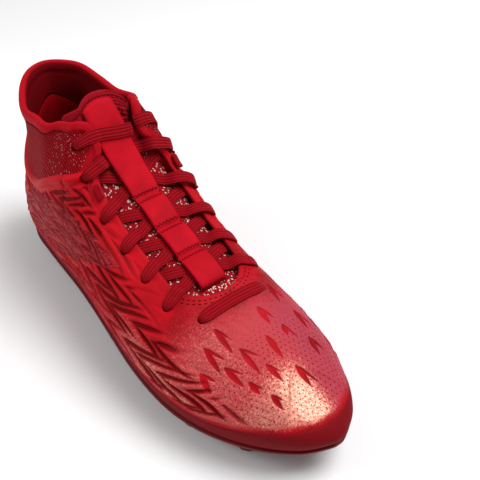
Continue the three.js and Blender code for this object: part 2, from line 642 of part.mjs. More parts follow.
const INSOLE_EDGE = { under: 3, round: 0.6, thick: 1.6, bed: 8 }; // each in from the insole's outline
function makeInsole() {
  const edge = -WALL - 2 * CLEAR;
  const top = INSOLE_THICKNESS + INSOLE_CUP;
  return stackOf([
    soleRing(edge - INSOLE_EDGE.under, CLEAR),
    soleRing(edge - INSOLE_EDGE.round, CLEAR + 1),
    soleRing(edge, top),
    soleRing(edge - INSOLE_EDGE.thick, top),
    soleRing(edge - INSOLE_EDGE.bed, INSOLE_THICKNESS + CLEAR),
  ]);
}

// The skin at x, "side" away from its ridge, moved out by lift.
function saddle(x, side, lift) {
  if (side === 0) {
    return new THREE.Vector3(x, ridgeSide(x), ridgeUp(x)).addScaledVector(ridgeNormal(x), lift);
  }
  const at = spot(Math.sign(side), x, Math.abs(side));
  return lifted(at.place, at.share, lift);
}

// The tongue, from under the vamp to above the collar, a layer at an even depth under the skin.
// half: half its width, and shift: how far its middle lies to the inner side, both in HALF_THROAT.
// deep: its depth under the lining, in TONGUE_DEPTH.
const TONGUE_DEPTH = 3.4;
const TONGUE = [
  { along: 0.3, half: 1.04, shift: -0.24, deep: 1 },
  { along: 0.34, half: 1.02, shift: -0.14, deep: 1 },
  { along: 0.4, half: 1.06, shift: -0.04, deep: 1 },
  { along: 0.46, half: 1.14, shift: 0, deep: 1 },
  { along: 0.66, half: 1.14, shift: 0, deep: 1 },
  { along: 0.7, half: 0.98, shift: 0, deep: 0.35 },
  { along: 0.72, half: 0.9, shift: 0, deep: 0 },
];
const TONGUE_SLANT = 0.15; // share of its rise that its head lacks on the outer side
const TONGUE_ROUND = 0.4; // share of its rise that its head lacks at its corners
const WING = { from: 0.45, back: 20, up: 8, power: 1.3 }; // its head's outer end, along the collar's lining
const TONGUE_THIN = 0.6; // share of its thickness that it lacks at its sides
const TONGUE_COLUMNS = 10;
const TONGUE_ROWS = 14;
const TONGUE_RIB = RIM_RIB + 0.15; // the rib that its head starts from
const TONGUE_TUCK = 14; // how far it reaches under the vamp
const TONGUE_HEAD = [ // rise is in TONGUE_LIFT, half in the first row's
  { rise: 0.0, half: 1.0 },
  { rise: 0.4, half: 1.0 },
  { rise: 0.75, half: 0.99 },
  { rise: 0.93, half: 0.94 },
  { rise: 1.0, half: 0.86 },
];

// A point of the skin on a rib, "side" away from the ridge along it, moved out by lift.
function onRib(rib, side, lift) {
  if (side === 0) return lifted(placeOf(rib, -1), 1, lift);
  const place = placeOf(rib, Math.sign(side));
  const share = solve(0.3, 1, (test) => {
    const point = skin(place, test);
    return Math.abs(side) - Math.abs(point.y - ridgeSide(point.x));
  });
  return lifted(place, share, lift);
}

const tongueDeep = (x) => WALL + CLEAR + fromTable(TONGUE, "deep", x) * TONGUE_DEPTH;
const tongueShift = (x) => fromTable(TONGUE, "shift", x) * HALF_THROAT;
const tongueHalf = (x) => fromTable(TONGUE, "half", x) * HALF_THROAT;

// Where a point "side" away from the ridge lies across the tongue, from -1 on the outer side to 1.
const acrossTongue = (x, side) => clamp((side - tongueShift(x)) / tongueHalf(x), -1, 1);

// How far the tongue's head goes there from the rib that it starts from, for a rise of one.
function headAt(across) {
  const slanted = mix(1 - TONGUE_SLANT, 1, (across + 1) / 2) * (1 - TONGUE_ROUND * across ** 4);
  const wing = clamp((-across - WING.from) / (1 - WING.from), 0, 1) ** WING.power / TONGUE_LIFT;
  return new THREE.Vector3(
    -slanted * Math.cos(rad(TONGUE_LEAN)) - wing * WING.back,
    0,
    slanted * Math.sin(rad(TONGUE_LEAN)) + wing * WING.up,
  );
}

// A layer that lies "lift" above the tongue's outside, "half" wide to each side of the middle. Its rows go
// from the head down, each along a rib or straight across at x: how far it rises past the ridge, and the
// layer's lift, half and thickness.
function layerOf(rows, columns) {
  const outside = [];
  const inside = [];
  for (const { rib, x = crown(rib).x, rise, lift, half, thick } of rows) {
    const point = (side, up) => (rib === undefined ? saddle(x, side, up) : onRib(rib, side, up));
    const deep = tongueDeep(x);
    const shift = tongueShift(x);
    const column = [];
    const lining = [];
    for (let k = 0; k <= columns; k += 1) {
      const across = k / columns * 2 - 1;
      const side = across * half + shift;
      const top = lift - deep;
      const head = headAt(acrossTongue(x, side));
      column.push(point(side, top).addScaledVector(head, rise));
      lining.push(point(side, top - thick(across)).addScaledVector(head, rise));
    }
    outside.push(column);
    inside.push(lining);
  }
  return wallOf(outside, inside, false);
}

const ribAt = (x) => solve(RIM_RIB, TOE_RIB, (rib) => crown(rib).x - x);

function makeTongue() {
  const thick = (across) => TONGUE_THICKNESS * (1 - TONGUE_THIN * across ** 6);
  const widest = (rib) => tongueHalf(crown(rib).x);
  const rows = [...TONGUE_HEAD].reverse().map((row) => (
    { rib: TONGUE_RIB, rise: row.rise * TONGUE_LIFT, lift: 0, half: row.half * widest(TONGUE_RIB), thick }
  ));
  const end = ribAt(THROAT_END + TONGUE_TUCK);
  for (let k = 1; k <= TONGUE_ROWS; k += 1) {
    const rib = mix(TONGUE_RIB, end, k / TONGUE_ROWS);
    rows.push({ rib, rise: 0, lift: 0, half: widest(rib), thick });
  }
  return layerOf(rows, TONGUE_COLUMNS);
}

// The strap, stitched down at its ends and at three eyelet rows. along is in FOOT_LENGTH.
const STITCHED = [0.322, EYELETS[4].along, EYELETS[3].along, EYELETS[2].along, 0.662];
const STRAP_STEPS = 5; // rows from one stitched row to the next
const STRAP_FLARE = 1.2; // its width at the head, in STRAP_WIDTH
const STRAP_COLUMNS = 4;
const STRAP_HEAD = 3.5; // how far it reaches up the tongue's head
function strapLift(x) {
  const along = clamp(x / FOOT_LENGTH, STITCHED[0], STITCHED[4]);
  const run = clamp(STITCHED.findIndex((row) => row > along), 1, 4);
  const share = clamp((along - STITCHED[run - 1]) / (STITCHED[run] - STITCHED[run - 1]), 0, 1);
  return 2 * CLEAR + STRAP_LIFT * (4 * share * (1 - share)) ** 0.4;
}

function makeStrap() {
  const thick = () => STRAP_THICKNESS;
  const halfAt = (x) => {
    const below = clamp((x / FOOT_LENGTH - STITCHED[0]) / (STITCHED[1] - STITCHED[0]), 0, 1);
    return STRAP_WIDTH / 2 * mix(STRAP_FLARE, 1, below);
  };
  const start = crown(TONGUE_RIB).x + 2;
  const rows = [{ rib: TONGUE_RIB, rise: STRAP_HEAD, lift: CLEAR + STRAP_THICKNESS, half: halfAt(0), thick }];
  for (let run = 0; run < STITCHED.length - 1; run += 1) {
    for (let k = run === 0 ? 0 : 1; k <= STRAP_STEPS; k += 1) {
      const x = mix(STITCHED[run], STITCHED[run + 1], k / STRAP_STEPS) * FOOT_LENGTH;
      const lift = strapLift(x) + STRAP_THICKNESS;
      if (x > start) rows.push({ x, rise: 0, lift, half: halfAt(x), thick });
    }
  }
  return layerOf(rows, STRAP_COLUMNS);
}

// A flat lace along a line of points of the skin: x, how far it lies from the ridge, and its lift.
function laceOf(line) {
  const middles = line.map((at) => saddle(at.x, at.side, at.lift));
  const raised = line.map((at) => saddle(at.x, at.side, at.lift + 1));
  const points = [];
  middles.forEach((middle, k) => {
    const next = middles[Math.min(k + 1, line.length - 1)];
    const along = next.clone().sub(middles[Math.max(k - 1, 0)]).normalize();
    const across = raised[k].clone().sub(middle).cross(along).normalize();
    const out = along.clone().cross(across).normalize();
    for (const [wide, high] of [[-1, -1], [1, -1], [1, 1], [-1, 1]]) {
      const corner = middle.clone().addScaledVector(across, wide * LACE_WIDTH / 2);
      points.push(corner.addScaledVector(out, high * LACE_THICKNESS / 2));
    }
  });
  const faces = [[3, 2, 1, 0], [0, 1, 2, 3].map((i) => i + 4 * (line.length - 1))];
  for (let k = 0; k < line.length - 1; k += 1) {
    for (let i = 0; i < 4; i += 1) {
      const next = (i + 1) % 4;
      faces.push([4 * k + i, 4 * k + next, 4 * k + 4 + next, 4 * k + 4 + i]);
    }
  }
  return meshOf(points, faces);
}

const ON_SHELL = 2 * CLEAR + LACE_THICKNESS / 2; // the lace's middle above what it lies on
const HOLE_GAP = EYELET_RADIUS + CLEAR; // the laces stop this far from an eyelet's middle
const laceOnTongue = (x) => ON_SHELL - tongueDeep(x) + CLEAR;

// One strand from the top of an eyelet, over the throat's edge and under the strap, to below the next eyelet
// on the other side. from is the side that it starts on.
const STRAND = { steps: 14, hold: 1.8, dip: 7.2 }; // it stays up for "hold" inside the edge, down from "dip"
// row: its lower eyelet. sag: how far its middle lies towards the toe. rides: its extra lift.
const CROSSINGS = [
  { row: 1, sag: 0, rides: 0 },
  { row: 2, sag: 0, rides: 0 },
  { row: 3, sag: 0, rides: 1 },
  { row: 4, sag: 0, rides: 3 },
  { row: 5, sag: 2.4, rides: 2.2 },
];
function strand({ row, sag, rides }, from) {
  const [lowHalf, highHalf] = [eyeletHalf(row), eyeletHalf(row + 1)];
  const line = [];
  for (let k = 0; k <= STRAND.steps; k += 1) {
    const across = mix(HOLE_GAP - lowHalf, highHalf - HOLE_GAP, k / STRAND.steps);
    const share = (across + lowHalf) / (lowHalf + highHalf);
    const x = mix(eyeletX(row), eyeletX(row + 1), share) + sag * Math.sin(Math.PI * share);
    const inside = throatHalf(x) - Math.abs(across);
    const down = across < 0 ? smooth(clamp((inside - STRAND.hold) / (STRAND.dip - STRAND.hold), 0, 1)) : 1;
    line.push({ x, side: from * -across, lift: mix(ON_SHELL + rides, laceOnTongue(x), down) });
  }
  return solidOf(laceOf(line));
}

const makeCrossing = (crossing) => geometryOf(strand(crossing, 1).add(strand(crossing, -1)));

// The straight lace across the vamp, between the eyelets of the first row.
const BAR_STEPS = 8;
function makeBar() {
  const half = eyeletHalf(0) - HOLE_GAP;
  const line = [];
  for (let k = 0; k <= BAR_STEPS; k += 1) {
    line.push({ x: eyeletX(0), side: mix(-half, half, k / BAR_STEPS), lift: ON_SHELL });
  }
  return laceOf(line);
}

// The top lace, from the last eyelet on the outer side over the strap to the collar's flap on the inner side.
const ON_KNIT = ON_SHELL + KNIT_WALL - WALL;
const TOP_LACE = { steps: 10, sag: 2.5, over: 4 };
function makeTopLace() {
  const half = eyeletHalf(6);
  const strapEdge = STRAP_WIDTH * STRAP_FLARE / 2 + 1;
  const line = [];
  for (let k = 0; k <= TOP_LACE.steps; k += 1) {
    const side = mix(HOLE_GAP - half, strapEdge - 2, k / TOP_LACE.steps);
    const x = eyeletX(6) + TOP_LACE.sag * smooth(k / TOP_LACE.steps);
    const overStrap = strapLift(x) - tongueDeep(x) + STRAP_THICKNESS + ON_SHELL;
    const share = smooth(clamp((side + strapEdge + TOP_LACE.over) / TOP_LACE.over, 0, 1));
    line.push({ x, side, lift: mix(ON_KNIT, overStrap, share) });
  }
  return laceOf(line);
}

// The lace that turns over the edge of the collar's flap on the inner side.
const LOOP_LACE = { steps: 6, past: 3, drop: 2.2 };
function makeLoop() {
  const half = eyeletHalf(6);
  const x = eyeletX(6);
  const edge = throatHalf(x);
  const line = [];
  for (let k = 0; k <= LOOP_LACE.steps; k += 1) {
    const side = mix(half - HOLE_GAP, edge - LOOP_LACE.past, k / LOOP_LACE.steps);
    const dip = smooth(clamp((edge - CLEAR - side) / LOOP_LACE.past, 0, 1));
    line.push({ x: x + k / LOOP_LACE.steps, side, lift: ON_KNIT - LOOP_LACE.drop * dip });
  }
  return laceOf(line);
}

// A lace's tip, which lies on the edge of the throat between the fifth and the sixth eyelet.
const LACE_END = { from: 0.388, length: 8, radius: 1.9, sides: 8, outset: 3 };
function makeLaceEnd(side) {
  const x = LACE_END.from * FOOT_LENGTH;
  const lift = LACE_END.radius + 4 * CLEAR;
  const across = side * (throatHalf(x) + LACE_END.outset);
  const start = saddle(x, across, lift);
  const end = saddle(x + LACE_END.length, across, lift);
  const tube = new THREE.CylinderGeometry(LACE_END.radius, LACE_END.radius, LACE_END.length, LACE_END.sides);
  tube.applyQuaternion(turned(end.clone().sub(start).normalize()));
  tube.translate(...start.add(end).multiplyScalar(0.5).toArray());
  return tube;
}

const cleat = new THREE.Group();
cleat.add(piece("shell", makeShell(), "shell"));
cleat.add(piece("collar", makeCollar(), "knit"));
cleat.add(piece("outsole", makeOutsole(), "plate"));
cleat.add(piece("insole", makeInsole(), "lining"));
cleat.add(piece("tongue", makeTongue(), "knit"));
cleat.add(piece("strap", makeStrap(), "strap"));
cleat.add(piece("lace_bar", makeBar(), "lace"));
for (const crossing of CROSSINGS) {
  cleat.add(piece(`lace_crossing_${crossing.row}`, makeCrossing(crossing), "lace"));
}
cleat.add(piece("lace_top", makeTopLace(), "lace"));
cleat.add(piece("lace_loop", makeLoop(), "lace"));
cleat.add(piece("lace_end_outer", makeLaceEnd(-1), "lace"));
cleat.add(piece("lace_end_inner", makeLaceEnd(1), "lace"));

// The origin is the middle of the box round the cleat, on the floor.
const box = new THREE.Box3().setFromObject(cleat);
cleat.position.set(-(box.min.x + box.max.x) / 2, -(box.min.y + box.max.y) / 2, -box.min.z);

export default cleat;
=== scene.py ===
"""A mid-cut american football cleat for the right foot, dressed over its solids.

Metres, +X towards the toe, +Y towards the inner side of the foot, +Z up. The last, on which the upper and
everything on it are built, is the same function of the same sizes as in the solids.
"""
import math
from collections import namedtuple
from functools import lru_cache

import bmesh
import bpy
from mathutils import Matrix, Vector, noise
from mathutils.bvhtree import BVHTree


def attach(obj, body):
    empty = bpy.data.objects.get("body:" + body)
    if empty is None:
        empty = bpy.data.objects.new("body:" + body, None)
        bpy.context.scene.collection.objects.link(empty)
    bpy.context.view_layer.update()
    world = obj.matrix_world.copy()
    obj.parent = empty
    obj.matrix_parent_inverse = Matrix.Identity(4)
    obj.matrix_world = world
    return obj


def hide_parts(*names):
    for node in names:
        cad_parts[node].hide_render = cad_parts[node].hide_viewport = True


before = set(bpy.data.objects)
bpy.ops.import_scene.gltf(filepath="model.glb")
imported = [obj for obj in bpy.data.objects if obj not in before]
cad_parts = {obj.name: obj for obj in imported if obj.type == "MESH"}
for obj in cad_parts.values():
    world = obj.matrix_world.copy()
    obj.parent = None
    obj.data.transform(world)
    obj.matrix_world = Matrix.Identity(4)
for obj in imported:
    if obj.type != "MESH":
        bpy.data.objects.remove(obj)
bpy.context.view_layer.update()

BODY = "root"
MM = 0.001

# Driving dimensions, as in the solids.
FOOT_LENGTH = 294 * MM
HALF_BALL = 47.5 * MM
HALF_COLLAR = 33 * MM
HEEL_HEIGHT = 127 * MM
INSTEP_HEIGHT = 142 * MM
WALL = 2.2 * MM
KNIT_WALL = 2.8 * MM
CLEAR = 0.3 * MM
STUD_LENGTH = 12.5 * MM
PLATE_THICKNESS = 4.2 * MM
PLATE_LIP = 1.5 * MM
PLATE_BAND = 1.8 * MM
PLATE_STEP = 1.9 * MM
PLATE_DRAFT = 1.6 * MM
SPRING = 9.5 * MM
ROLL_HEIGHT = 2.4 * MM
ROLL_WIDTH = 8 * MM
HALF_THROAT = 24.5 * MM
THROAT_END = 202 * MM
THROAT_ROUND = 22 * MM
LACE_WIDTH = 7.6 * MM
LACE_THICKNESS = 1.6 * MM
EYELET_RADIUS = 2.3 * MM
EYELET_MARGIN = 8.5 * MM
TONGUE_THICKNESS = 4.5 * MM
TONGUE_LIFT = 8 * MM
TONGUE_LEAN = math.radians(58)
STRAP_WIDTH = 18 * MM
STRAP_THICKNESS = 1.2 * MM
STRAP_LIFT = 4 * MM
FEATHER = STUD_LENGTH + PLATE_THICKNESS + CLEAR

# Where the last's own origin, below the heel's lower edge, stands in the frame.
ORIGIN = Vector((-0.146820, 0.001403, 0.0))

# The ribs of the last from heel to toe, with the same columns and shares as in the solids.
Rib = namedtuple("Rib", "along lateral medial lift hub rim_along rim_out_l rim_out_m rim_up_l rim_up_m "
                        "rise flare_l flare_m reach_l reach_m drop")
RIBS = [
    Rib(0.000, 0.000, 0.000, 0.42, 0.120, 0.030, 0.00, 0.00, 1.005, 1.005, 0.32, 0.22, 0.22, -0.30, -0.30, 0.30),
    Rib(0.018, 0.300, 0.280, 0.42, 0.120, 0.045, 0.37, 0.36, 1.000, 1.000, 0.32, 0.22, 0.20, -0.27, -0.27, 0.30),
    Rib(0.060, 0.600, 0.530, 0.42, 0.130, 0.080, 0.67, 0.64, 0.975, 0.990, 0.33, 0.21, 0.19, -0.18, -0.18, 0.30),
    Rib(0.125, 0.780, 0.650, 0.43, 0.150, 0.140, 0.92, 0.77, 0.947, 0.965, 0.34, 0.20, 0.19, -0.08, -0.08, 0.30),
    Rib(0.205, 0.830, 0.610, 0.52, 0.200, 0.205, 0.96, 0.79, 0.980, 0.965, 0.35, 0.20, 0.26, 0.02, 0.04, 0.28),
    Rib(0.290, 0.860, 0.530, 0.72, 0.280, 0.278, 0.88, 0.79, 1.013, 1.010, 0.38, 0.20, 0.34, 0.20, 0.26, 0.20),
    Rib(0.370, 0.885, 0.470, 0.85, 0.310, 0.310, 0.00, 0.00, 1.000, 1.000, 0.44, 0.20, 0.38, 0.62, 0.72, 0.00),
    Rib(0.445, 0.920, 0.455, 0.80, 0.365, None, None, None, None, None, 0.51, 0.18, 0.38, 0.82, 0.87, 0.00),
    Rib(0.525, 0.965, 0.500, 0.60, 0.440, None, None, None, None, None, 0.56, 0.16, 0.34, 0.95, 0.95, 0.00),
    Rib(0.600, 1.000, 0.610, 0.33, 0.530, None, None, None, None, None, 0.57, 0.13, 0.28, 0.97, 0.94, 0.00),
    Rib(0.670, 1.000, 0.770, 0.12, 0.615, None, None, None, None, None, 0.57, 0.12, 0.20, 0.92, 0.87, 0.00),
    Rib(0.735, 0.960, 0.900, 0.00, 0.690, None, None, None, None, None, 0.56, 0.12, 0.14, 0.84, 0.81, 0.00),
    Rib(0.800, 0.860, 0.945, 0.04, 0.755, None, None, None, None, None, 0.55, 0.12, 0.12, 0.75, 0.75, 0.00),
    Rib(0.865, 0.690, 0.890, 0.23, 0.810, None, None, None, None, None, 0.54, 0.12, 0.12, 0.66, 0.68, 0.00),
    Rib(0.925, 0.460, 0.740, 0.52, 0.850, None, None, None, None, None, 0.53, 0.13, 0.13, 0.57, 0.58, 0.00),
    Rib(0.972, 0.190, 0.525, 0.80, 0.877, None, None, None, None, None, 0.52, 0.14, 0.14, 0.49, 0.50, 0.00),
    Rib(0.995, -0.070, 0.310, 0.95, 0.889, None, None, None, None, None, 0.51, 0.15, 0.15, 0.44, 0.44, 0.00),
    Rib(1.000, -0.200, 0.170, 1.00, 0.893, None, None, None, None, None, 0.50, 0.15, 0.15, 0.42, 0.42, 0.00),
]
RIM_RIB = 6
TOE_RIB = len(RIBS) - 1

# The ridge of instep, vamp and toe, the shell's top edge and half the throat, by their place along the foot.
RIDGE = {
    "along": (0.29, 0.31, 0.335, 0.36, 0.39, 0.43, 0.5, 0.58, 0.66, 0.74, 0.82, 0.87, 0.91),
    "up": (1.065, 1.0, 0.895, 0.805, 0.735, 0.675, 0.607, 0.552, 0.5, 0.455, 0.405, 0.368, 0.33),
    "side": (0.04, 0.04, 0.045, 0.05, 0.055, 0.06, 0.06, 0.07, 0.08, 0.1, 0.135, 0.165, 0.175),
}
SHELL_EDGE = {
    "along": (-0.02, 0.02, 0.05, 0.085, 0.13, 0.18, 0.23, 0.29, 0.34, 0.39, 0.45),
    "up": (0.93, 0.925, 0.84, 0.725, 0.665, 0.65, 0.69, 0.785, 0.85, 0.88, 0.9),
}
THROAT = {
    "along": (0.29, 0.315, 0.335, 0.35, 0.365, 0.385, 0.42, 0.55, 0.7),
    "half": (0.84, 0.76, 0.62, 0.6, 0.74, 0.94, 1.0, 1.0, 0.96),
}
EYELETS = {  # from the toe up, with the margin from the throat's edge
    "along": (0.712, 0.652, 0.584, 0.514, 0.444, 0.37, 0.337),
    "margin": (2.5, 1.35, 0.9, 0.8, 0.8, 1.25, 1.4),
}
TONGUE = {  # half and shift are in HALF_THROAT, deep is its depth under the lining, in TONGUE_DEPTH
    "along": (0.3, 0.34, 0.4, 0.46, 0.66, 0.7, 0.72),
    "half": (1.04, 1.02, 1.06, 1.14, 1.14, 0.98, 0.9),
    "shift": (-0.24, -0.14, -0.04, 0.0, 0.0, 0.0, 0.0),
    "deep": (1, 1, 1, 1, 1, 0.35, 0.0),
}
TONGUE_DEPTH = 3.4 * MM
TONGUE_SLANT = 0.15  # share of its rise that its head lacks on the outer side
TONGUE_ROUND = 0.4  # share of its rise that its head lacks at its corners
WING_FROM = 0.45  # its head's outer end runs on along the collar's lining
WING_BACK = 20 * MM
WING_UP = 8 * MM
WING_POWER = 1.3


def mix(a, b, share):
    return a + (b - a) * share


def clamp(value, low=0.0, high=1.0):
    return min(max(value, low), high)


def smooth(share):
    share = clamp(share)
    return share * share * (3 - 2 * share)


def ramp(value, low, high):
    """0 at low, 1 at high, and smooth between them."""
    return smooth((value - low) / (high - low))


def through(a, b, c, d, share):
    """Smooth curve through four values, from b at 0 to c at 1."""
    slope_b = (c - a) / 2
    slope_c = (d - b) / 2
    s2 = share * share
    s3 = s2 * share
    return (2 * s3 - 3 * s2 + 1) * b + (s3 - 2 * s2 + share) * slope_b + (3 * s2 - 2 * s3) * c + (s3 - s2) * slope_c


def on_loop(values, place):
    count = len(values)
    first = math.floor(place)
    a, b, c, d = (values[(first + k) % count] for k in (-1, 0, 1, 2))
    return through(a, b, c, d, place - first)


def from_table(table, column, x):
    along = x / FOOT_LENGTH
    stands = table["along"]
    values = table[column]
    last = len(stands) - 1
    first = 0
    while first < last - 1 and stands[first + 1] < along:
        first += 1
    a, b, c, d = (values[min(max(first + k, 0), last)] for k in (-1, 0, 1, 2))
    return through(a, b, c, d, clamp((along - stands[first]) / (stands[first + 1] - stands[first]), -1, 2))


def ridge_up(x):
    return from_table(RIDGE, "up", x) * INSTEP_HEIGHT


def ridge_side(x):
    return from_table(RIDGE, "side", x) * HALF_BALL


SLOPE_STEP = 0.5 * MM


def ridge_slope(x):
    return (ridge_up(x + SLOPE_STEP) - ridge_up(x - SLOPE_STEP)) / (2 * SLOPE_STEP)


def ridge_normal(x):
    return Vector((-ridge_slope(x), 0, 1)).normalized()


def looped(lateral, medial, until=TOE_RIB):
    """A column of the ribs round the foot: heel, outer side, toe, inner side."""
    return [getattr(rib, lateral) for rib in RIBS[:until + 1]] + [getattr(rib, medial) for rib in RIBS[until - 1:0:-1]]


LOOP = {name: looped(name, name) for name in ("along", "lift", "hub", "rise", "drop")}
LOOP["out"] = [-rib.lateral for rib in RIBS] + [rib.medial for rib in RIBS[TOE_RIB - 1:0:-1]]
LOOP["flare"] = looped("flare_l", "flare_m")
LOOP["reach"] = looped("reach_l", "reach_m")
LOOP["rim_along"] = looped("rim_along", "rim_along", RIM_RIB)
LOOP["rim_out"] = ([-rib.rim_out_l for rib in RIBS[:RIM_RIB + 1]]
                   + [rib.rim_out_m for rib in RIBS[RIM_RIB - 1:0:-1]])
LOOP["rim_height"] = ([rib.rim_up_l * HEEL_HEIGHT for rib in RIBS[:RIM_RIB]] + [INSTEP_HEIGHT]
                      + [rib.rim_up_m * HEEL_HEIGHT for rib in RIBS[RIM_RIB - 1:0:-1]])
ROUND = len(LOOP["along"])


def rib_of(place):
    return place if place <= TOE_RIB else ROUND - place


def place_of(rib, side):
    return rib if side < 0 else (ROUND - rib) % ROUND


def crown(place):
    rib = rib_of(place)
    if rib >= RIM_RIB:
        x = on_loop(LOOP["hub"], place) * FOOT_LENGTH
        return Vector((x, ridge_side(x), ridge_up(x)))
    rim_place = place if place <= TOE_RIB else len(LOOP["rim_along"]) - rib
    return Vector((on_loop(LOOP["rim_along"], rim_place) * FOOT_LENGTH,
                   on_loop(LOOP["rim_out"], rim_place) * HALF_COLLAR,
                   on_loop(LOOP["rim_height"], rim_place)))


def foot(place):
    return Vector((on_loop(LOOP["along"], place) * FOOT_LENGTH,
                   on_loop(LOOP["out"], place) * HALF_BALL,
                   FEATHER + on_loop(LOOP["lift"], place) * SPRING))


TINY = 1e-3
TOE_STEP = 0.8  # ribs to each side over which the outward direction is evened out at the toe


@lru_cache(None)
def outwards(place):
    """The direction that points straight out of the upper's lower edge."""
    step = mix(TINY, TOE_STEP, ramp(rib_of(place), TOE_RIB - 3, TOE_RIB - 1.5))
    along = foot((place + step) % ROUND) - foot((place - step + ROUND) % ROUND)
    return Vector((along.y, -along.x, 0)).normalized()


@lru_cache(None)
def handles(place):
    """The four points of a rib's curve, from the lower edge to the crown."""
    low = foot(place)
    top = crown(place)
    out = outwards(place)
    height = top.z - low.z
    on_ridge = clamp(rib_of(place) - RIM_RIB + 1)
    reach = on_loop(LOOP["reach"], place) * HALF_BALL
    low_handle = low + out * on_loop(LOOP["flare"], place) * HALF_BALL
    low_handle.z += on_loop(LOOP["rise"], place) * height
    top_handle = top + out * reach
    top_handle.z += out.x * reach * ridge_slope(top.x) * on_ridge - on_loop(LOOP["drop"], place) * height
    return low, low_handle, top_handle, top


def skin(place, share):
    """The outside of the upper: place counts ribs round the foot, share runs from the lower edge to the crown."""
    low, low_handle, top_handle, top = handles(place)
    rest = 1 - share
    return (low * rest ** 3 + low_handle * (3 * rest * rest * share)
            + top_handle * (3 * rest * share * share) + top * share ** 3)


def skin_normal(place, share):
    if share > 1 - TINY and rib_of(place) >= RIM_RIB:
        return ridge_normal(crown(place).x)
    back = share - TINY if share > 0.5 else share
    around = skin(place + TINY, back) - skin((place - TINY + ROUND) % ROUND, back)
    upwards = skin(place, back + TINY) - skin(place, back)
    return around.cross(upwards).normalized()


def lifted(place, share, lift):
    return skin(place, share) + skin_normal(place, share) * lift


def solve(low, high, test, steps=22):
    """Where test turns from below zero to above it, between low and high."""
    for _ in range(steps):
        middle = (low + high) / 2
        if test(middle) < 0:
            low = middle
        else:
            high = middle
    return (low + high) / 2


def throat_half(x):
    into_end = clamp((x - THROAT_END + THROAT_ROUND) / THROAT_ROUND)
    return from_table(THROAT, "half", x) * HALF_THROAT * math.sqrt(1 - into_end * into_end)


THROAT_RIB = solve(RIM_RIB, TOE_RIB, lambda rib: crown(rib).x - THROAT_END)


def off_ridge(point):
    return abs(point.y - ridge_side(point.x))


FLAP_TOP = {"along": (0.275, 0.3, 0.32), "up": (1.02, 1.025, 1.04)}  # the top of the collar's flap on the outer side
FLAP_ROUND = 0.06  # share of a rib that its corner's rounding takes


@lru_cache(None)
def throat_share(place):
    """The share of a rib that lies outside the throat and below the top of the outer flap."""
    rib = rib_of(place)
    if rib >= THROAT_RIB or rib < RIM_RIB - 2:
        return 1.0

    def inside(share):
        point = skin(place, share)
        return throat_half(point.x) - off_ridge(point)
    edge = 1.0 if inside(1) < 0 else solve(0.4, 1, inside)
    if place > TOE_RIB or rib > RIM_RIB + 2:
        return edge

    def above(share):
        point = skin(place, share)
        return point.z - from_table(FLAP_TOP, "up", point.x) * HEEL_HEIGHT
    level = solve(0.4, 1, above)
    rounding = mix(TINY, FLAP_ROUND, clamp(rib - RIM_RIB + 1))
    near = max(rounding - abs(edge - level), 0)
    return min(edge, level) - near ** 2 / (4 * rounding)


@lru_cache(None)
def seam_share(place):
    """The share of a rib at the seam between shell and collar."""
    def above(share):
        point = skin(place, share)
        return point.z - from_table(SHELL_EDGE, "up", point.x) * HEEL_HEIGHT
    return solve(0.1, 1, above)


@lru_cache(None)
def rib_share(place):
    """The share of a rib that one metre along it takes."""
    return 0.3 / (skin(place, 0.35) - skin(place, 0.65)).length


def spot(side, x, half):
    """The place and share of the skin at x, and half away from the ridge on one side."""
    def share_at(rib):
        return solve(0.3, 1, lambda share: half - off_ridge(skin(place_of(rib, side), share)))
    rib = solve(RIM_RIB - 1.5, TOE_RIB - 1, lambda rib: skin(place_of(rib, side), share_at(rib)).x - x)
    return place_of(rib, side), share_at(rib)


def on_rib(rib, side, lift):
    """A point of the skin on a rib, side away from the ridge along it, moved out by lift."""
    if abs(side) < 1e-9:
        return lifted(place_of(rib, -1), 1, lift)
    place = place_of(rib, side)
    share = solve(0.3, 1, lambda test: abs(side) - off_ridge(skin(place, test)))
    return lifted(place, share, lift)


def grid(columns, rows, at):
    """A bmesh grid of that many faces each way. at(i, j) gives each vertex its place, and i and j stay on it."""
    mesh = bmesh.new()
    bmesh.ops.create_grid(mesh, x_segments=columns, y_segments=rows, size=0.5)
    column = mesh.verts.layers.int.new("column")
    row = mesh.verts.layers.int.new("row")
    for vert in mesh.verts:
        vert[column] = round((vert.co.x + 0.5) * columns)
        vert[row] = round((vert.co.y + 0.5) * rows)
        vert.co = at(vert[column], vert[row])
    return mesh


def unwrapped(mesh, at):
    """Gives the mesh a UV map in metres: at(column, row) is the place of a vertex on the flat pattern."""
    column = mesh.verts.layers.int["column"]
    row = mesh.verts.layers.int["row"]
    layer = mesh.loops.layers.uv.new("pattern")
    for face in mesh.faces:
        for loop in face.loops:
            loop[layer].uv = at(loop.vert[column], loop.vert[row])


def closed(mesh, gap=0.02 * MM):
    """Merges what meets, and turns every face outwards."""
    bmesh.ops.remove_doubles(mesh, verts=mesh.verts, dist=gap)
    bmesh.ops.dissolve_degenerate(mesh, dist=gap / 10, edges=mesh.edges)
    bmesh.ops.recalc_face_normals(mesh, faces=mesh.faces)


def piece(name, mesh, finish, replaced=(), smooth_faces=True, in_last=True):
    """The finished object of a bmesh built in the last's own millimetres or in the frame."""
    if in_last:
        bmesh.ops.translate(mesh, vec=ORIGIN, verts=mesh.verts)
    data = bpy.data.meshes.new(name)
    mesh.to_mesh(data)
    mesh.free()
    data.materials.append(finish)
    for polygon in data.polygons:
        polygon.use_smooth = smooth_faces
    made = bpy.data.objects.new(name, data)
    bpy.context.scene.collection.objects.link(made)
    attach(made, BODY)
    if replaced:
        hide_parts(*replaced)
    return made


# Finishes


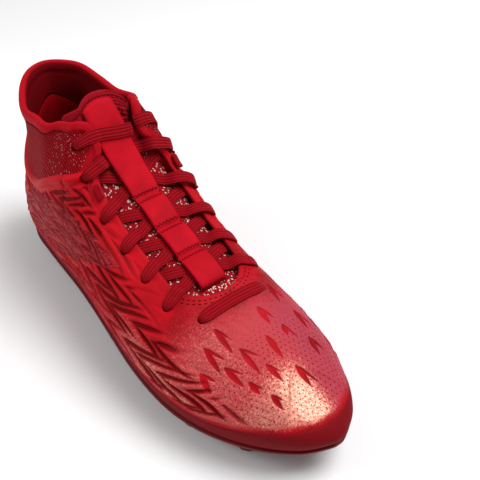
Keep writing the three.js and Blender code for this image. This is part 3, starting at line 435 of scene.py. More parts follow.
class Tree:
    """A new material's nodes, with a short call for each kind that is used often."""

    def __init__(self, name):
        self.material = bpy.data.materials.new(name)
        self.material.use_nodes = True
        self.nodes = self.material.node_tree.nodes
        self.shader = next(node for node in self.nodes if node.type == "BSDF_PRINCIPLED")

    def add(self, kind, inputs=None, **settings):
        node = self.nodes.new(kind)
        for key, value in settings.items():
            setattr(node, key, value)
        self.fill(node, inputs or {})
        return node

    def fill(self, node, inputs):
        for key, value in inputs.items():
            if isinstance(value, bpy.types.NodeSocket):
                self.material.node_tree.links.new(value, node.inputs[key])
            else:
                node.inputs[key].default_value = value

    def math(self, operation, a, b=0.0, limit=False):
        return self.add("ShaderNodeMath", {0: a, 1: b}, operation=operation, use_clamp=limit).outputs[0]

    def ramp(self, value, low, high, start=0.0, end=1.0):
        node = self.add("ShaderNodeMapRange", {"Value": value, "From Min": low, "From Max": high,
                                               "To Min": start, "To Max": end}, interpolation_type="SMOOTHSTEP")
        return node.outputs["Result"]

    def colours(self, share, a, b):
        node = self.add("ShaderNodeMix", data_type="RGBA")
        self.fill(node, {0: share, 6: a, 7: b})
        return node.outputs[2]

    def between(self, share, a, b):
        """A value between a and b."""
        node = self.add("ShaderNodeMix", data_type="FLOAT")
        self.fill(node, {0: share, 2: a, 3: b})
        return node.outputs[0]

    def attribute(self, name):
        return self.add("ShaderNodeAttribute", attribute_name=name).outputs["Fac"]

    def place(self):
        return self.add("ShaderNodeTexCoord").outputs["Object"]

    def pattern(self):
        return self.add("ShaderNodeUVMap", uv_map="pattern").outputs["UV"]

    def noise(self, vector, scale, detail=2.0, roughness=0.5):
        inputs = {"Vector": vector, "Scale": scale, "Detail": detail, "Roughness": roughness}
        return self.add("ShaderNodeTexNoise", inputs).outputs["Fac"]

    def cells(self, vector, scale, feature="F1", output="Distance"):
        node = self.add("ShaderNodeTexVoronoi", {"Vector": vector, "Scale": scale}, feature=feature)
        return node.outputs[output]

    def mapped(self, vector, turn=0.0, scale=(1, 1, 1)):
        return self.add("ShaderNodeMapping", {"Vector": vector, "Rotation": (0, 0, turn), "Scale": scale}).outputs[0]

    def bump(self, height, distance, strength=1.0, below=None):
        inputs = {"Height": height, "Distance": distance, "Strength": strength}
        if below is not None:
            inputs["Normal"] = below
        return self.add("ShaderNodeBump", inputs).outputs["Normal"]

    def finish(self, **inputs):
        self.fill(self.shader, {key.replace("_", " "): value for key, value in inputs.items()})
        return self.material


RED_DARK = (0.24, 0.001, 0.004, 1)
RED = (0.46, 0.002, 0.009, 1)
# Painted shade for the grooves and the pinholes, and the dark thread of the stitches.
SHADE_AND_THREAD_RED = (0.11, 0.0005, 0.002, 1)
RED_RAND = (0.17, 0.003, 0.006, 1)
RED_DUST = (0.36, 0.035, 0.045, 1)
COAT = (0.46, 0.050, 0.058, 1)
COAT_COOL = (0.40, 0.046, 0.072, 1)
# Painted highlight colour of the pearly coat.
COAT_HIGHLIGHT = (0.80, 0.38, 0.27, 1)
FLECK = (0.90, 0.50, 0.42, 1)
RED_GLOSS = (1.0, 0.35, 0.35, 1)
MATT = {"Specular_IOR_Level": 0.15, "Specular_Tint": RED_GLOSS}


def shell_finish():
    """Embossed coated textile: bright red, a dusty heel panel, a matt rand and a pearly coat over the forefoot, with
    painted shade in the grooves and pinholes and painted highlights on the crests and the coat.
    """
    tree = Tree("coated shell")
    spot_at = tree.place()
    fine = tree.noise(spot_at, 1800, 2.0)
    cloud = tree.noise(spot_at, 45, 3.0)
    grain = tree.noise(spot_at, 950, 5.0, 0.75)
    groove = tree.ramp(tree.attribute("groove"), -0.7 * MM, 0.35 * MM)
    painted_crest_light = tree.ramp(tree.attribute("groove"), 0.1 * MM, 1.5 * MM)
    arrow = tree.ramp(tree.attribute("arrow"), -0.1 * MM, 0.25 * MM)
    rand = tree.ramp(tree.math("ADD", tree.attribute("rand"), tree.math("MULTIPLY", grain, 4 * MM)), 1 * MM, 4 * MM)
    edge = tree.attribute("panel")
    panel = tree.ramp(edge, 0.3 * MM, -0.3 * MM)
    coated = tree.attribute("coat")
    # The pale share is a painted highlight.
    pale = tree.attribute("pale")

    cloth = tree.colours(tree.ramp(cloud, 0.3, 0.7), RED_DARK, RED)
    # Painted light on the sides: the crests are lighter and the troughs darker, as light and shade fall on the relief.
    cloth = tree.colours(tree.attribute("side"), cloth, tree.colours(painted_crest_light, RED_DARK, RED))
    dusty = tree.colours(tree.ramp(grain, 0.35, 0.65), RED_DARK, RED_DUST)
    cloth = tree.colours(tree.math("MULTIPLY", panel, 0.75), cloth, dusty)
    cloth = tree.colours(rand, RED_RAND, cloth)

    # The coat is sprayed: first dusty and in specks, and on the sides kept to the crests, which is partly a painted
    # highlight; where the light falls it closes into pale patches, a painted highlight.
    dust = tree.ramp(tree.math("ADD", grain, tree.math("MULTIPLY", coated, 0.5)), 0.60, 1.10)
    dust = tree.math("MULTIPLY", dust, tree.ramp(coated, 0.0, 0.25))
    raised = tree.math("MULTIPLY", arrow, tree.between(tree.attribute("side"), 1.0, painted_crest_light))
    dust = tree.math("MULTIPLY", dust, raised)
    # Painted highlight: pale specks close into pale patches where the light falls.
    bright = tree.ramp(tree.math("ADD", grain, tree.math("MULTIPLY", pale, 0.5)), 0.58, 1.08)
    bright = tree.math("MULTIPLY", bright, tree.ramp(pale, 0.0, 0.2))
    coat = tree.colours(tree.attribute("cool"), COAT, COAT_COOL)
    coat = tree.colours(bright, coat, COAT_HIGHLIGHT)
    colour = tree.colours(dust, cloth, coat)
    # Painted shade: the grooves are darkened towards their bottoms.
    painted_groove_shade = tree.math("SUBTRACT", 1.0, groove)
    colour = tree.colours(tree.math("MULTIPLY", painted_groove_shade, 0.5), colour, SHADE_AND_THREAD_RED)

    # Painted shade in the pinholes: each hole is darkened, with only a bump for its depth.
    hole = tree.math("MULTIPLY", pinholes(tree, spot_at), tree.attribute("holes"))
    colour = tree.colours(tree.math("MULTIPLY", hole, 0.8), colour, SHADE_AND_THREAD_RED)
    across = tree.add("ShaderNodeSeparateXYZ", {0: spot_at}).outputs[0]
    dash = tree.ramp(tree.math("FRACT", tree.math("DIVIDE", across, 2.6 * MM)), 0.3, 0.4)
    seam = tree.ramp(tree.math("ABSOLUTE", tree.math("ADD", edge, 1.5 * MM)), 0.45 * MM, 0.2 * MM)
    stitch = tree.math("MULTIPLY", dash, seam)
    colour = tree.colours(tree.math("MULTIPLY", stitch, 0.7), colour, SHADE_AND_THREAD_RED)
    shining = tree.math("MULTIPLY", dust, bright)
    rough = tree.math("ADD", tree.ramp(shining, 0.0, 1.0, 0.52, 0.34), tree.math("MULTIPLY", fine, 0.12))
    rough = tree.math("ADD", rough, tree.math("MULTIPLY", tree.math("SUBTRACT", 1.0, rand), 0.2))
    normal = tree.bump(groove, 0.25 * MM)
    normal = tree.bump(arrow, 0.3 * MM, below=normal)
    normal = tree.bump(panel, 0.3 * MM, below=normal)
    normal = tree.bump(stitch, 0.2 * MM, below=normal)
    normal = tree.bump(tree.math("SUBTRACT", 1.0, hole), 0.5 * MM, below=normal)
    normal = tree.bump(tree.math("MULTIPLY", grain, rand), 0.16 * MM, 0.6, below=normal)
    return tree.finish(Base_Color=colour, Roughness=rough, Metallic=tree.math("MULTIPLY", shining, 0.45),
                       Normal=normal, Specular_IOR_Level=0.22, Specular_Tint=RED_GLOSS)


HOLE_PITCH = 3.0 * MM
HOLE_RADIUS = 0.32 * MM


def pinholes(tree, spot_at):
    """Rows of small holes, staggered, on the plane of the sole: 1 in a hole."""
    axes = tree.add("ShaderNodeSeparateXYZ", {0: tree.mapped(spot_at, 0.5)}).outputs
    nearest = None
    for shift in (0.0, 0.5):
        offsets = []
        for axis, pitch in ((axes[0], HOLE_PITCH), (axes[1], HOLE_PITCH * math.sqrt(3))):
            turns = tree.math("ADD", tree.math("DIVIDE", axis, pitch), shift)
            offset = tree.math("SUBTRACT", tree.math("FRACT", turns), 0.5)
            offsets.append(tree.math("MULTIPLY", offset, pitch))
        squares = [tree.math("MULTIPLY", offset, offset) for offset in offsets]
        distance = tree.math("SQRT", tree.math("ADD", *squares))
        nearest = distance if nearest is None else tree.math("MINIMUM", nearest, distance)
    return tree.ramp(nearest, 1.3 * HOLE_RADIUS, 0.7 * HOLE_RADIUS)


def knit_finish():
    """The collar's knit: fine slanted cords with pale flecks, smooth at the back and round the rim."""
    tree = Tree("collar knit")
    flat = tree.pattern()
    knit = tree.attribute("knit")
    axes = tree.add("ShaderNodeSeparateXYZ", {0: tree.mapped(flat, -0.9)}).outputs
    cord = tree.math("SINE", tree.math("MULTIPLY", axes[0], 2 * math.pi / (2.1 * MM)))
    stitch = tree.math("SINE", tree.math("MULTIPLY", axes[1], 2 * math.pi / (1.3 * MM)))
    cord = tree.math("ADD", cord, tree.math("MULTIPLY", stitch, 0.35))
    cord = tree.math("MULTIPLY", cord, knit)
    soft = tree.noise(flat, 2600, 3.0)
    flecks = tree.ramp(tree.cells(flat, 420), 0.24, 0.12)
    flecks = tree.math("MULTIPLY", flecks, tree.attribute("flecks"))
    # Painted shade between the cords: the knit is darker where its cords are low.
    colour = tree.colours(tree.ramp(cord, -1.2, 1.2), (0.12, 0.001, 0.003, 1), (0.38, 0.003, 0.010, 1))
    plain = tree.colours(tree.attribute("lining"), (0.38, 0.003, 0.010, 1), (0.13, 0.001, 0.003, 1))
    colour = tree.colours(knit, plain, colour)
    colour = tree.colours(flecks, colour, FLECK)
    normal = tree.bump(cord, 0.22 * MM)
    normal = tree.bump(soft, 0.05 * MM, 0.7, below=normal)
    return tree.finish(Base_Color=colour, Roughness=0.8, Normal=normal, **MATT)


def mesh_finish():
    """The tongue's spacer mesh, with pale yarn at the bottom of its openings and a ribbed band at its head."""
    tree = Tree("tongue mesh")
    flat = tree.pattern()
    mesh = tree.attribute("mesh")
    axes = tree.add("ShaderNodeSeparateXYZ", {0: flat}).outputs
    cell = tree.cells(tree.mapped(flat, 0.4, (1, 1.3, 1)), 500)
    opening = tree.math("MULTIPLY", tree.ramp(cell, 0.50, 0.36), mesh)
    pale = tree.math("MULTIPLY", tree.ramp(cell, 0.40, 0.28), tree.attribute("pale"))
    rib = tree.math("SINE", tree.math("MULTIPLY", axes[0], 2 * math.pi / (1.9 * MM)))
    # Painted shade in the openings: they are darkened, with a bump for their depth; the pale yarn at their bottom is
    # its own colour.
    colour = tree.colours(opening, (0.28, 0.004, 0.011, 1), (0.06, 0.001, 0.003, 1))
    colour = tree.colours(pale, colour, FLECK)
    normal = tree.bump(tree.math("SUBTRACT", 1.0, opening), 0.5 * MM)
    normal = tree.bump(tree.math("MULTIPLY", rib, tree.attribute("ribbed")), 0.25 * MM, below=normal)
    return tree.finish(Base_Color=colour, Roughness=0.8, Normal=normal, **MATT)


LACE_RIBS = 4


def lace_finish():
    """Flat woven lace: fine cross threads over its lengthwise ribs."""
    tree = Tree("lace weave")
    flat = tree.pattern()
    axes = tree.add("ShaderNodeSeparateXYZ", {0: flat}).outputs
    thread = tree.math("SINE", tree.math("MULTIPLY", axes[0], 2 * math.pi / (0.7 * MM)))
    rib = tree.math("COSINE", tree.math("MULTIPLY", axes[1], 2 * math.pi * LACE_RIBS / LACE_WIDTH))
    # Painted shade between the ribs: the lace is darker where its ribs are low.
    colour = tree.colours(tree.ramp(rib, 0.0, -1.0), (0.32, 0.003, 0.009, 1), (0.16, 0.001, 0.004, 1))
    normal = tree.bump(rib, 0.16 * MM)
    normal = tree.bump(thread, 0.05 * MM, below=normal)
    return tree.finish(Base_Color=colour, Roughness=0.7, Normal=normal, **MATT)


def plain_finish(name, colour, roughness, grain_scale, grain_height, **more):
    """A plain surface with some grain and a little difference in its colour."""
    tree = Tree(name)
    spot_at = tree.place()
    grain = tree.noise(spot_at, grain_scale, 3.0)
    cloud = tree.noise(spot_at, 60, 2.0)
    darker = tuple(0.78 * part for part in colour[:3]) + (1,)
    shade = tree.colours(tree.ramp(cloud, 0.35, 0.65), darker, colour)
    normal = tree.bump(grain, grain_height)
    return tree.finish(Base_Color=shade, Roughness=roughness, Normal=normal, **more)


SHELL = shell_finish()
KNIT = knit_finish()
MESH = mesh_finish()
LACE = lace_finish()
STRAP = plain_finish("strap suede", (0.50, 0.003, 0.013, 1), 0.65, 2500, 0.05 * MM, **MATT)
PLATE = plain_finish("moulded plate", (0.13, 0.002, 0.005, 1), 0.38, 900, 0.03 * MM,
                     Specular_IOR_Level=0.35, Specular_Tint=RED_GLOSS)
LINING = plain_finish("insole cloth", (0.16, 0.004, 0.008, 1), 0.85, 1800, 0.12 * MM, **MATT)
THREAD = plain_finish("thread", (0.13, 0.001, 0.004, 1), 0.6, 3000, 0.05 * MM, **MATT)


# The shell

STEP = 1 / 22  # ribs from one column of the shell to the next
LEVELS = 108  # faces up the outside
TURN = 4  # faces over the top edge
LINING_LEVELS = 8


def shell_ribs():
    """The ribs of one side's columns, closer together where the throat's round end begins."""
    near = [THROAT_RIB - back for back in (0.0, 0.0025, 0.008, 0.017, 0.03)]
    even = [k * STEP for k in range(round(TOE_RIB / STEP) + 1)]
    kept = [rib for rib in even if min(abs(rib - own) for own in near) > STEP / 3]
    return sorted(kept + near)


SIDE_RIBS = shell_ribs()
PLACES = SIDE_RIBS + [place_of(rib, 1) for rib in reversed(SIDE_RIBS[1:-1])]


def shell_top(place):
    if rib_of(place) > RIM_RIB + 3:
        return throat_share(place)
    return min(seam_share(place), throat_share(place))


def along_foot(side):
    """How far each rib of one side lies from the heel, measured round the foot."""
    reached = {}
    total = 0.0
    last = None
    for rib in SIDE_RIBS:
        point = skin(place_of(rib, side), 0.3)
        total += (point - last).length if last else 0.0
        reached[round(rib, 6)] = total
        last = point
    return reached


ALONG = {-1: along_foot(-1), 1: along_foot(1)}


def side_of(place):
    return -1 if place <= TOE_RIB else 1


# The embossed grooves: rows of open Vs run along the foot, with their points to the heel.
Emboss = namedtuple("Emboss", "row_width pitch slant groove depth crowning")
BODY_EMBOSS = Emboss(15.5 * MM, 18.0 * MM, 26 * MM, 1.3 * MM, 1.1 * MM, 1.3 * MM)
PANEL_EMBOSS = Emboss(11 * MM, 13 * MM, 18 * MM, 1.0 * MM, 0.8 * MM, 0.8 * MM)
PILLOW = 2.4 * MM  # how far from a groove's edge its ridge is at its full height
RAND_HEIGHT = {"rib": (0, 3, 6, 9, 12, 14, 15.5, 17), "up": (12, 9, 8, 8, 10, 13, 15, 16)}


def in_steps(table, column, key, value):
    """A smooth reading of a short table."""
    stands = table[key]
    for k in range(len(stands) - 1):
        if value <= stands[k + 1]:
            return mix(table[column][k], table[column][k + 1], ramp(value, stands[k], stands[k + 1]))
    return table[column][-1]


def chance(*seeds):
    """A number from 0 to 1 that is always the same for the same whole numbers."""
    value = math.sin(sum(seed * factor for seed, factor in zip(seeds, (12.9898, 78.233, 37.719, 4.581)))) * 43758.5453
    return value - math.floor(value)


def grooves(s, g, side, emboss):
    """The relief at s along the foot and g up from the lower edge, and the distance to a groove's edge."""
    bent = Vector((s * 32, g * 40, 3.0 * side))
    s += 10 * MM * noise.noise(bent)
    g += 7 * MM * noise.noise(bent * 0.6 + Vector((7.0, 3.0, 11.0)))
    own_row = math.floor(g / emboss.row_width)
    half = emboss.row_width / 2
    lean = half / math.hypot(half, emboss.slant)
    nearest = 4 * MM
    deepest = 0.0
    for row in (own_row - 1, own_row, own_row + 1):
        v = (g - (row + 0.5) * emboss.row_width) / half
        leg = 1 if v > 0 else 2
        v = abs(v)
        if v > 1.7:
            continue
        start = s - emboss.slant * v ** (1.15 if leg == 1 else 0.85) - (row % 2) * emboss.pitch / 2
        first = math.floor(start / emboss.pitch)
        for number in (first, first + 1):
            own = chance(number, row, leg, side)
            reach = 0.75 + 0.7 * chance(number, row, leg, side + 5)
            along = v / reach
            if along >= 1:
                continue
            away = abs(start - (number + 0.6 * (own - 0.5)) * emboss.pitch) * lean
            width = emboss.groove * (0.4 + 0.75 * own) * math.sin(math.pi * along ** 0.7) ** 0.8
            nearest = min(nearest, away - width)
            if away < 1.7 * width:
                deepest = max(deepest, (width / emboss.groove) ** 0.7 * smooth(1.3 * (1 - away / (1.7 * width))))
    crowned = emboss.crowning * math.sqrt(clamp(nearest / PILLOW))
    return crowned - emboss.depth * deepest, nearest


# Bare arrowheads in the pearly coat, in millimetres along the foot and off the ridge: the point where the
# two legs part, the end of the broad leg and the end of the narrow one.
Arrow = namedtuple("Arrow", "x side tip_x tip_side wing_x wing_side")
ARROWS = [
    Arrow(216.8, -19.3, 234.6, -19.9, 228.0, -15.5),
    Arrow(221.2, -29.5, 237.7, -31.2, 234.9, -24.8),
    Arrow(233.5, -15.7, 251.2, -16.2, 243.5, -9.5),
    Arrow(235.3, 0.8, 251.4, -0.3, 243.5, 2.6),
    Arrow(247.6, -10.4, 260.3, -9.1, 256.0, -6.3),
    Arrow(256.5, 2.3, 269.4, 2.9, 269.7, 8.1),
    Arrow(235.7, -28.1, 250.8, -26.7, 245.5, -22.7),
    Arrow(249.8, -23.7, 258.0, -22.8, 257.6, -19.6),
    Arrow(261.4, -18.8, 271.1, -18.2, 267.7, -15.1),
    Arrow(228.9, -38.4, 240.3, -39.8, 238.5, -35.0),
    Arrow(234.2, 13.9, 241.7, 11.6, 245.0, 16.0),
    Arrow(246.0, 22.0, 258.0, 19.5, 257.0, 25.0),
    Arrow(219.0, 9.0, 232.0, 8.0, 230.0, 13.0),
    Arrow(208.0, 26.0, 222.0, 24.0, 220.0, 29.5),
    Arrow(228.0, 28.0, 242.0, 26.5, 240.0, 32.0),
]
BROAD_LEG = 1.45 * MM
NARROW_LEG = 0.65 * MM


def leg_distance(x, y, start, end, width):
    """The distance to a pointed leg's edge, below zero inside it."""
    along = (end[0] - start[0], end[1] - start[1])
    length = math.hypot(*along)
    u = ((x - start[0]) * along[0] + (y - start[1]) * along[1]) / length ** 2
    v = ((x - start[0]) * along[1] - (y - start[1]) * along[0]) / length
    past = max(-u, u - 1, 0) * length
    return math.hypot(abs(v), past) - width * max(math.sin(math.pi * clamp(u) ** 0.85), 0) ** 1.15


def arrow_distance(x, y):
    """The distance to the nearest arrowhead's edge, below zero inside one."""
    nearest = 5 * MM
    for arrow in ARROWS:
        start = (arrow.x * MM, arrow.side * MM)
        if abs(x - start[0] - 8 * MM) > 18 * MM or abs(y - start[1]) > 14 * MM:
            continue
        nearest = min(nearest,
                      leg_distance(x, y, start, (arrow.tip_x * MM, arrow.tip_side * MM), BROAD_LEG),
                      leg_distance(x, y, start, (arrow.wing_x * MM, arrow.wing_side * MM), NARROW_LEG))
    return nearest


# The heel panel on the outer side, a leaf that points to the toe: its middle height and half height.
PANEL = {
    "x": (35 * MM, 58 * MM, 81 * MM, 96 * MM, 116 * MM, 130 * MM, 143 * MM, 157 * MM),
    "low": (40 * MM, 42 * MM, 46 * MM, 49 * MM, 59 * MM, 67 * MM, 71 * MM, 74.5 * MM),
    "high": (58 * MM, 74 * MM, 83 * MM, 86 * MM, 86.5 * MM, 83 * MM, 79 * MM, 74.5 * MM),
}


def panel_distance(point, side):
    """The distance to the heel panel's edge, below zero inside it."""
    if side > 0 or not PANEL["x"][0] - 5 * MM < point.x < PANEL["x"][-1]:
        return 5 * MM
    low = in_steps(PANEL, "low", "x", point.x)
    high = in_steps(PANEL, "high", "x", point.x)
    return max(low - point.z, point.z - high, PANEL["x"][0] - point.x)


def relief_at(place, s, g, gap, crown_gap, point):
    """The shell's low relief: its height out of the skin, and the shares and distances that its finish reads."""
    side = side_of(place)
    rib = rib_of(place)
    off = point.y - ridge_side(point.x)
    over_rand = g - in_steps(RAND_HEIGHT, "up", "rib", rib) * MM
    panel = max(panel_distance(point, side), ROLL_WIDTH + 2 * MM - gap if rib < RIM_RIB + 2 else -1)
    raised = ramp(panel, 0.6 * MM, -0.6 * MM)
    height, groove = grooves(s, g, side, BODY_EMBOSS)
    if raised > 0:
        fine_height, fine_groove = grooves(s, g, side, PANEL_EMBOSS)
        height = mix(height, fine_height, raised)
        groove = mix(groove, fine_groove, raised)
    strength = ramp(over_rand, 0, 6 * MM) * ramp(gap, 2.5 * MM, 8 * MM)
    strength *= ramp(rib, 0.4, 2.2) * mix(1, 0.1, ramp(rib, 14.2, 15.6))
    if rib < RIM_RIB + 2:
        strength *= ramp(gap, ROLL_WIDTH, ROLL_WIDTH + 5 * MM)
    else:
        strength *= mix(0.5, 1, ramp(gap, 14 * MM, 24 * MM))
    top = ramp(rib, 8.8, 10.6) * ramp(crown_gap, 50 * MM, 38 * MM)
    strength *= 1 - 0.9 * top
    arrow = arrow_distance(point.x, off) if top > 0.02 else 5 * MM
    lift = height * strength
    lift += 0.45 * MM * raised - 0.6 * MM * ramp(arrow, 0.5 * MM, -0.5 * MM)
    lift += 0.35 * MM * ramp(over_rand, 0, -1.2 * MM)
    clear = ramp(over_rand, -0.5 * MM, 6 * MM)
    on_top = ramp(crown_gap, 66 * MM, 46 * MM)
    outer = ramp(off, -8 * MM, -24 * MM)
    coat = mix(0.9 * ramp(s, 150 * MM, 235 * MM), mix(1, 1.15, outer) * ramp(point.x, 186 * MM, 232 * MM), on_top)
    # pale is a painted highlight: at the toe's top, on the outer shoulder and along the sides' crests, where the light
    # falls.
    pale = max(0.95 * ramp(point.x, 240 * MM, 268 * MM) * ramp(off, 14 * MM, -2 * MM) * mix(1, 0.6, outer),
               0.3 * ramp(point.x, 196 * MM, 224 * MM) * outer,
               0.6 * ramp(s, 165 * MM, 240 * MM) * (1 - on_top) if side < 0 else 0.15 * (1 - on_top))
    holes = ramp(point.x, 225 * MM, 240 * MM) * top * ramp(arrow, 0.8 * MM, 1.2 * MM) * ramp(over_rand, 4 * MM, 6 * MM)
    return {
        "lift": lift,
        "groove": mix(4 * MM, groove, clamp(strength * 1.5)),
        "arrow": arrow,
        "rand": over_rand,
        "panel": panel,
        "coat": clamp(coat * clear),
        "pale": clamp(pale * clear),
        "side": 1 - top,
        "cool": ramp(off, -4 * MM, 20 * MM),
        "holes": holes,
    }


def make_shell():
    columns = len(PLACES)
    rolled = {}
    tracks = {}
    for place in PLACES:
        rib = rib_of(place)
        top = shell_top(place)
        rolled[place] = 1 - ramp(rib, RIM_RIB + 0.5, RIM_RIB + 2)
        points = [skin(place, top * k / LEVELS) for k in range(LEVELS + 1)]
        reached = [0.0]
        for k in range(LEVELS):
            reached.append(reached[-1] + (points[k + 1] - points[k]).length)
        beyond = (skin(place, 1) - points[-1]).length if rib >= RIM_RIB else 40 * MM
        tracks[place] = (points, reached, beyond)

    bend = WALL / 2
    round_rows = LEVELS + TURN
    all_rows = round_rows + LINING_LEVELS + 1

    def at(i, j):
        place = PLACES[i % columns]
        points = tracks[place][0]
        top = shell_top(place)
        if j <= LEVELS:
            return points[j]
        open_edge = 0.0 if rib_of(place) >= THROAT_RIB else 1.0
        if j < round_rows:
            angle = math.pi * (j - LEVELS) / TURN
            past = math.sin(angle) * bend * rib_share(place) * open_edge
            low = lifted(place, top, -bend + math.cos(angle) * bend)
            if top + past >= 1 or past == 0:
                return low
            return low + (skin(place, min(top + past, 1)) - skin(place, top))
        if j < all_rows:
            return lifted(place, top * (1 - (j - round_rows) / LINING_LEVELS), -WALL)
        return points[0]

    mesh = grid(columns, all_rows, at)
    column = mesh.verts.layers.int["column"]
    row = mesh.verts.layers.int["row"]
    inner = []
    for face in mesh.faces:
        corners = [(rib_of(PLACES[vert[column] % columns]), vert[row]) for vert in face.verts]
        if all(rib >= THROAT_RIB and LEVELS <= level <= round_rows for rib, level in corners):
            inner.append(face)
    bmesh.ops.delete(mesh, geom=inner, context="FACES")
    closed(mesh)
    mesh.normal_update()
    names = ("groove", "arrow", "rand", "panel", "coat", "pale", "side", "cool", "holes")
    layers = {name: mesh.verts.layers.float.new(name) for name in names}
    neutral = {"groove": 4 * MM, "arrow": 5 * MM, "rand": 10 * MM, "panel": 5 * MM}
    for vert in mesh.verts:
        level = vert[row]
        if level > LEVELS:
            for name in names:
                vert[layers[name]] = neutral.get(name, 0.0)
            continue
        place = PLACES[vert[column] % columns]
        points, reached, beyond = tracks[place]
        g = reached[level]
        gap = reached[-1] - g
        s = ALONG[side_of(place)][round(rib_of(place), 6)]
        to_edge = gap if rib_of(place) < THROAT_RIB else 1.0
        found = relief_at(place, s, g, to_edge, gap + beyond, points[level])
        roll = math.sin(math.pi * clamp(1 - gap / ROLL_WIDTH) ** 0.8) if gap < ROLL_WIDTH else 0.0
        lift = found["lift"] + ROLL_HEIGHT * rolled[place] * roll
        edge = ramp(level, 0, 2) * (ramp(LEVELS - level, 0, 2) if rib_of(place) < THROAT_RIB else 1)
        vert.co += vert.normal * lift * edge
        for name in names:
            vert[layers[name]] = found[name]
    cut_eyelets(mesh, range(6))
    return piece("shell_upper", mesh, SHELL, ["shell"])


def eyelet_x(row):
    return EYELETS["along"][row] * FOOT_LENGTH


def eyelet_half(row):
    return throat_half(eyelet_x(row)) + EYELETS["margin"][row] * EYELET_MARGIN


EYELET_DEPTH = 1.6 * MM
EYELET_SPOTS = {(row, side): spot(side, eyelet_x(row), eyelet_half(row))
                for row in range(len(EYELETS["along"])) for side in (-1, 1)}


def cut_eyelets(mesh, rows):
    """Punches each eyelet: its faces go, its edge is made round, and a short sleeve leads into the wall."""
    for row in rows:
        for side in (-1, 1):
            place, share = EYELET_SPOTS[row, side]
            middle = skin(place, share)
            normal = skin_normal(place, share)

            def flat_distance(point):
                offset = point - middle
                return (offset - normal * offset.dot(normal)).length
            near = [face for face in mesh.faces
                    if (face.calc_center_median() - middle).length < 2 * EYELET_RADIUS
                    and face.normal.dot(normal) > 0.2
                    and (face.calc_center_median() - middle).dot(normal) > -WALL / 2]
            gone = [face for face in near if flat_distance(face.calc_center_median()) < EYELET_RADIUS]
            edges = set()
            for face in gone:
                edges ^= set(face.edges)
            rim = {vert for edge in edges for vert in edge.verts}
            bmesh.ops.delete(mesh, geom=gone, context="FACES")
            for vert in rim:
                offset = vert.co - middle
                flat = offset - normal * offset.dot(normal)
                vert.co = middle + flat.normalized() * EYELET_RADIUS + normal * offset.dot(normal)
            rim_edges = list({edge for edge in edges if edge.is_valid})
            sleeve = bmesh.ops.extrude_edge_only(mesh, edges=rim_edges)["geom"]
            low = [part for part in sleeve if isinstance(part, bmesh.types.BMVert)]
            bmesh.ops.translate(mesh, vec=-normal * EYELET_DEPTH, verts=low)
            bottom = [part for part in sleeve if isinstance(part, bmesh.types.BMEdge) and part.is_boundary]
            bmesh.ops.holes_fill(mesh, edges=bottom, sides=0)


# The collar

COLLAR_LEAST = 5 * MM


def band_height(place):
    return (throat_share(place) - seam_share(place)) / rib_share(place)


def collar_end(side):
    return solve(RIM_RIB - 1, RIM_RIB + 2, lambda rib: COLLAR_LEAST - band_height(place_of(rib, side)))


RIM_BAND = 5.2 * MM  # height of the smooth binding round the rim
RIM_PLUMP = 2.3 * MM


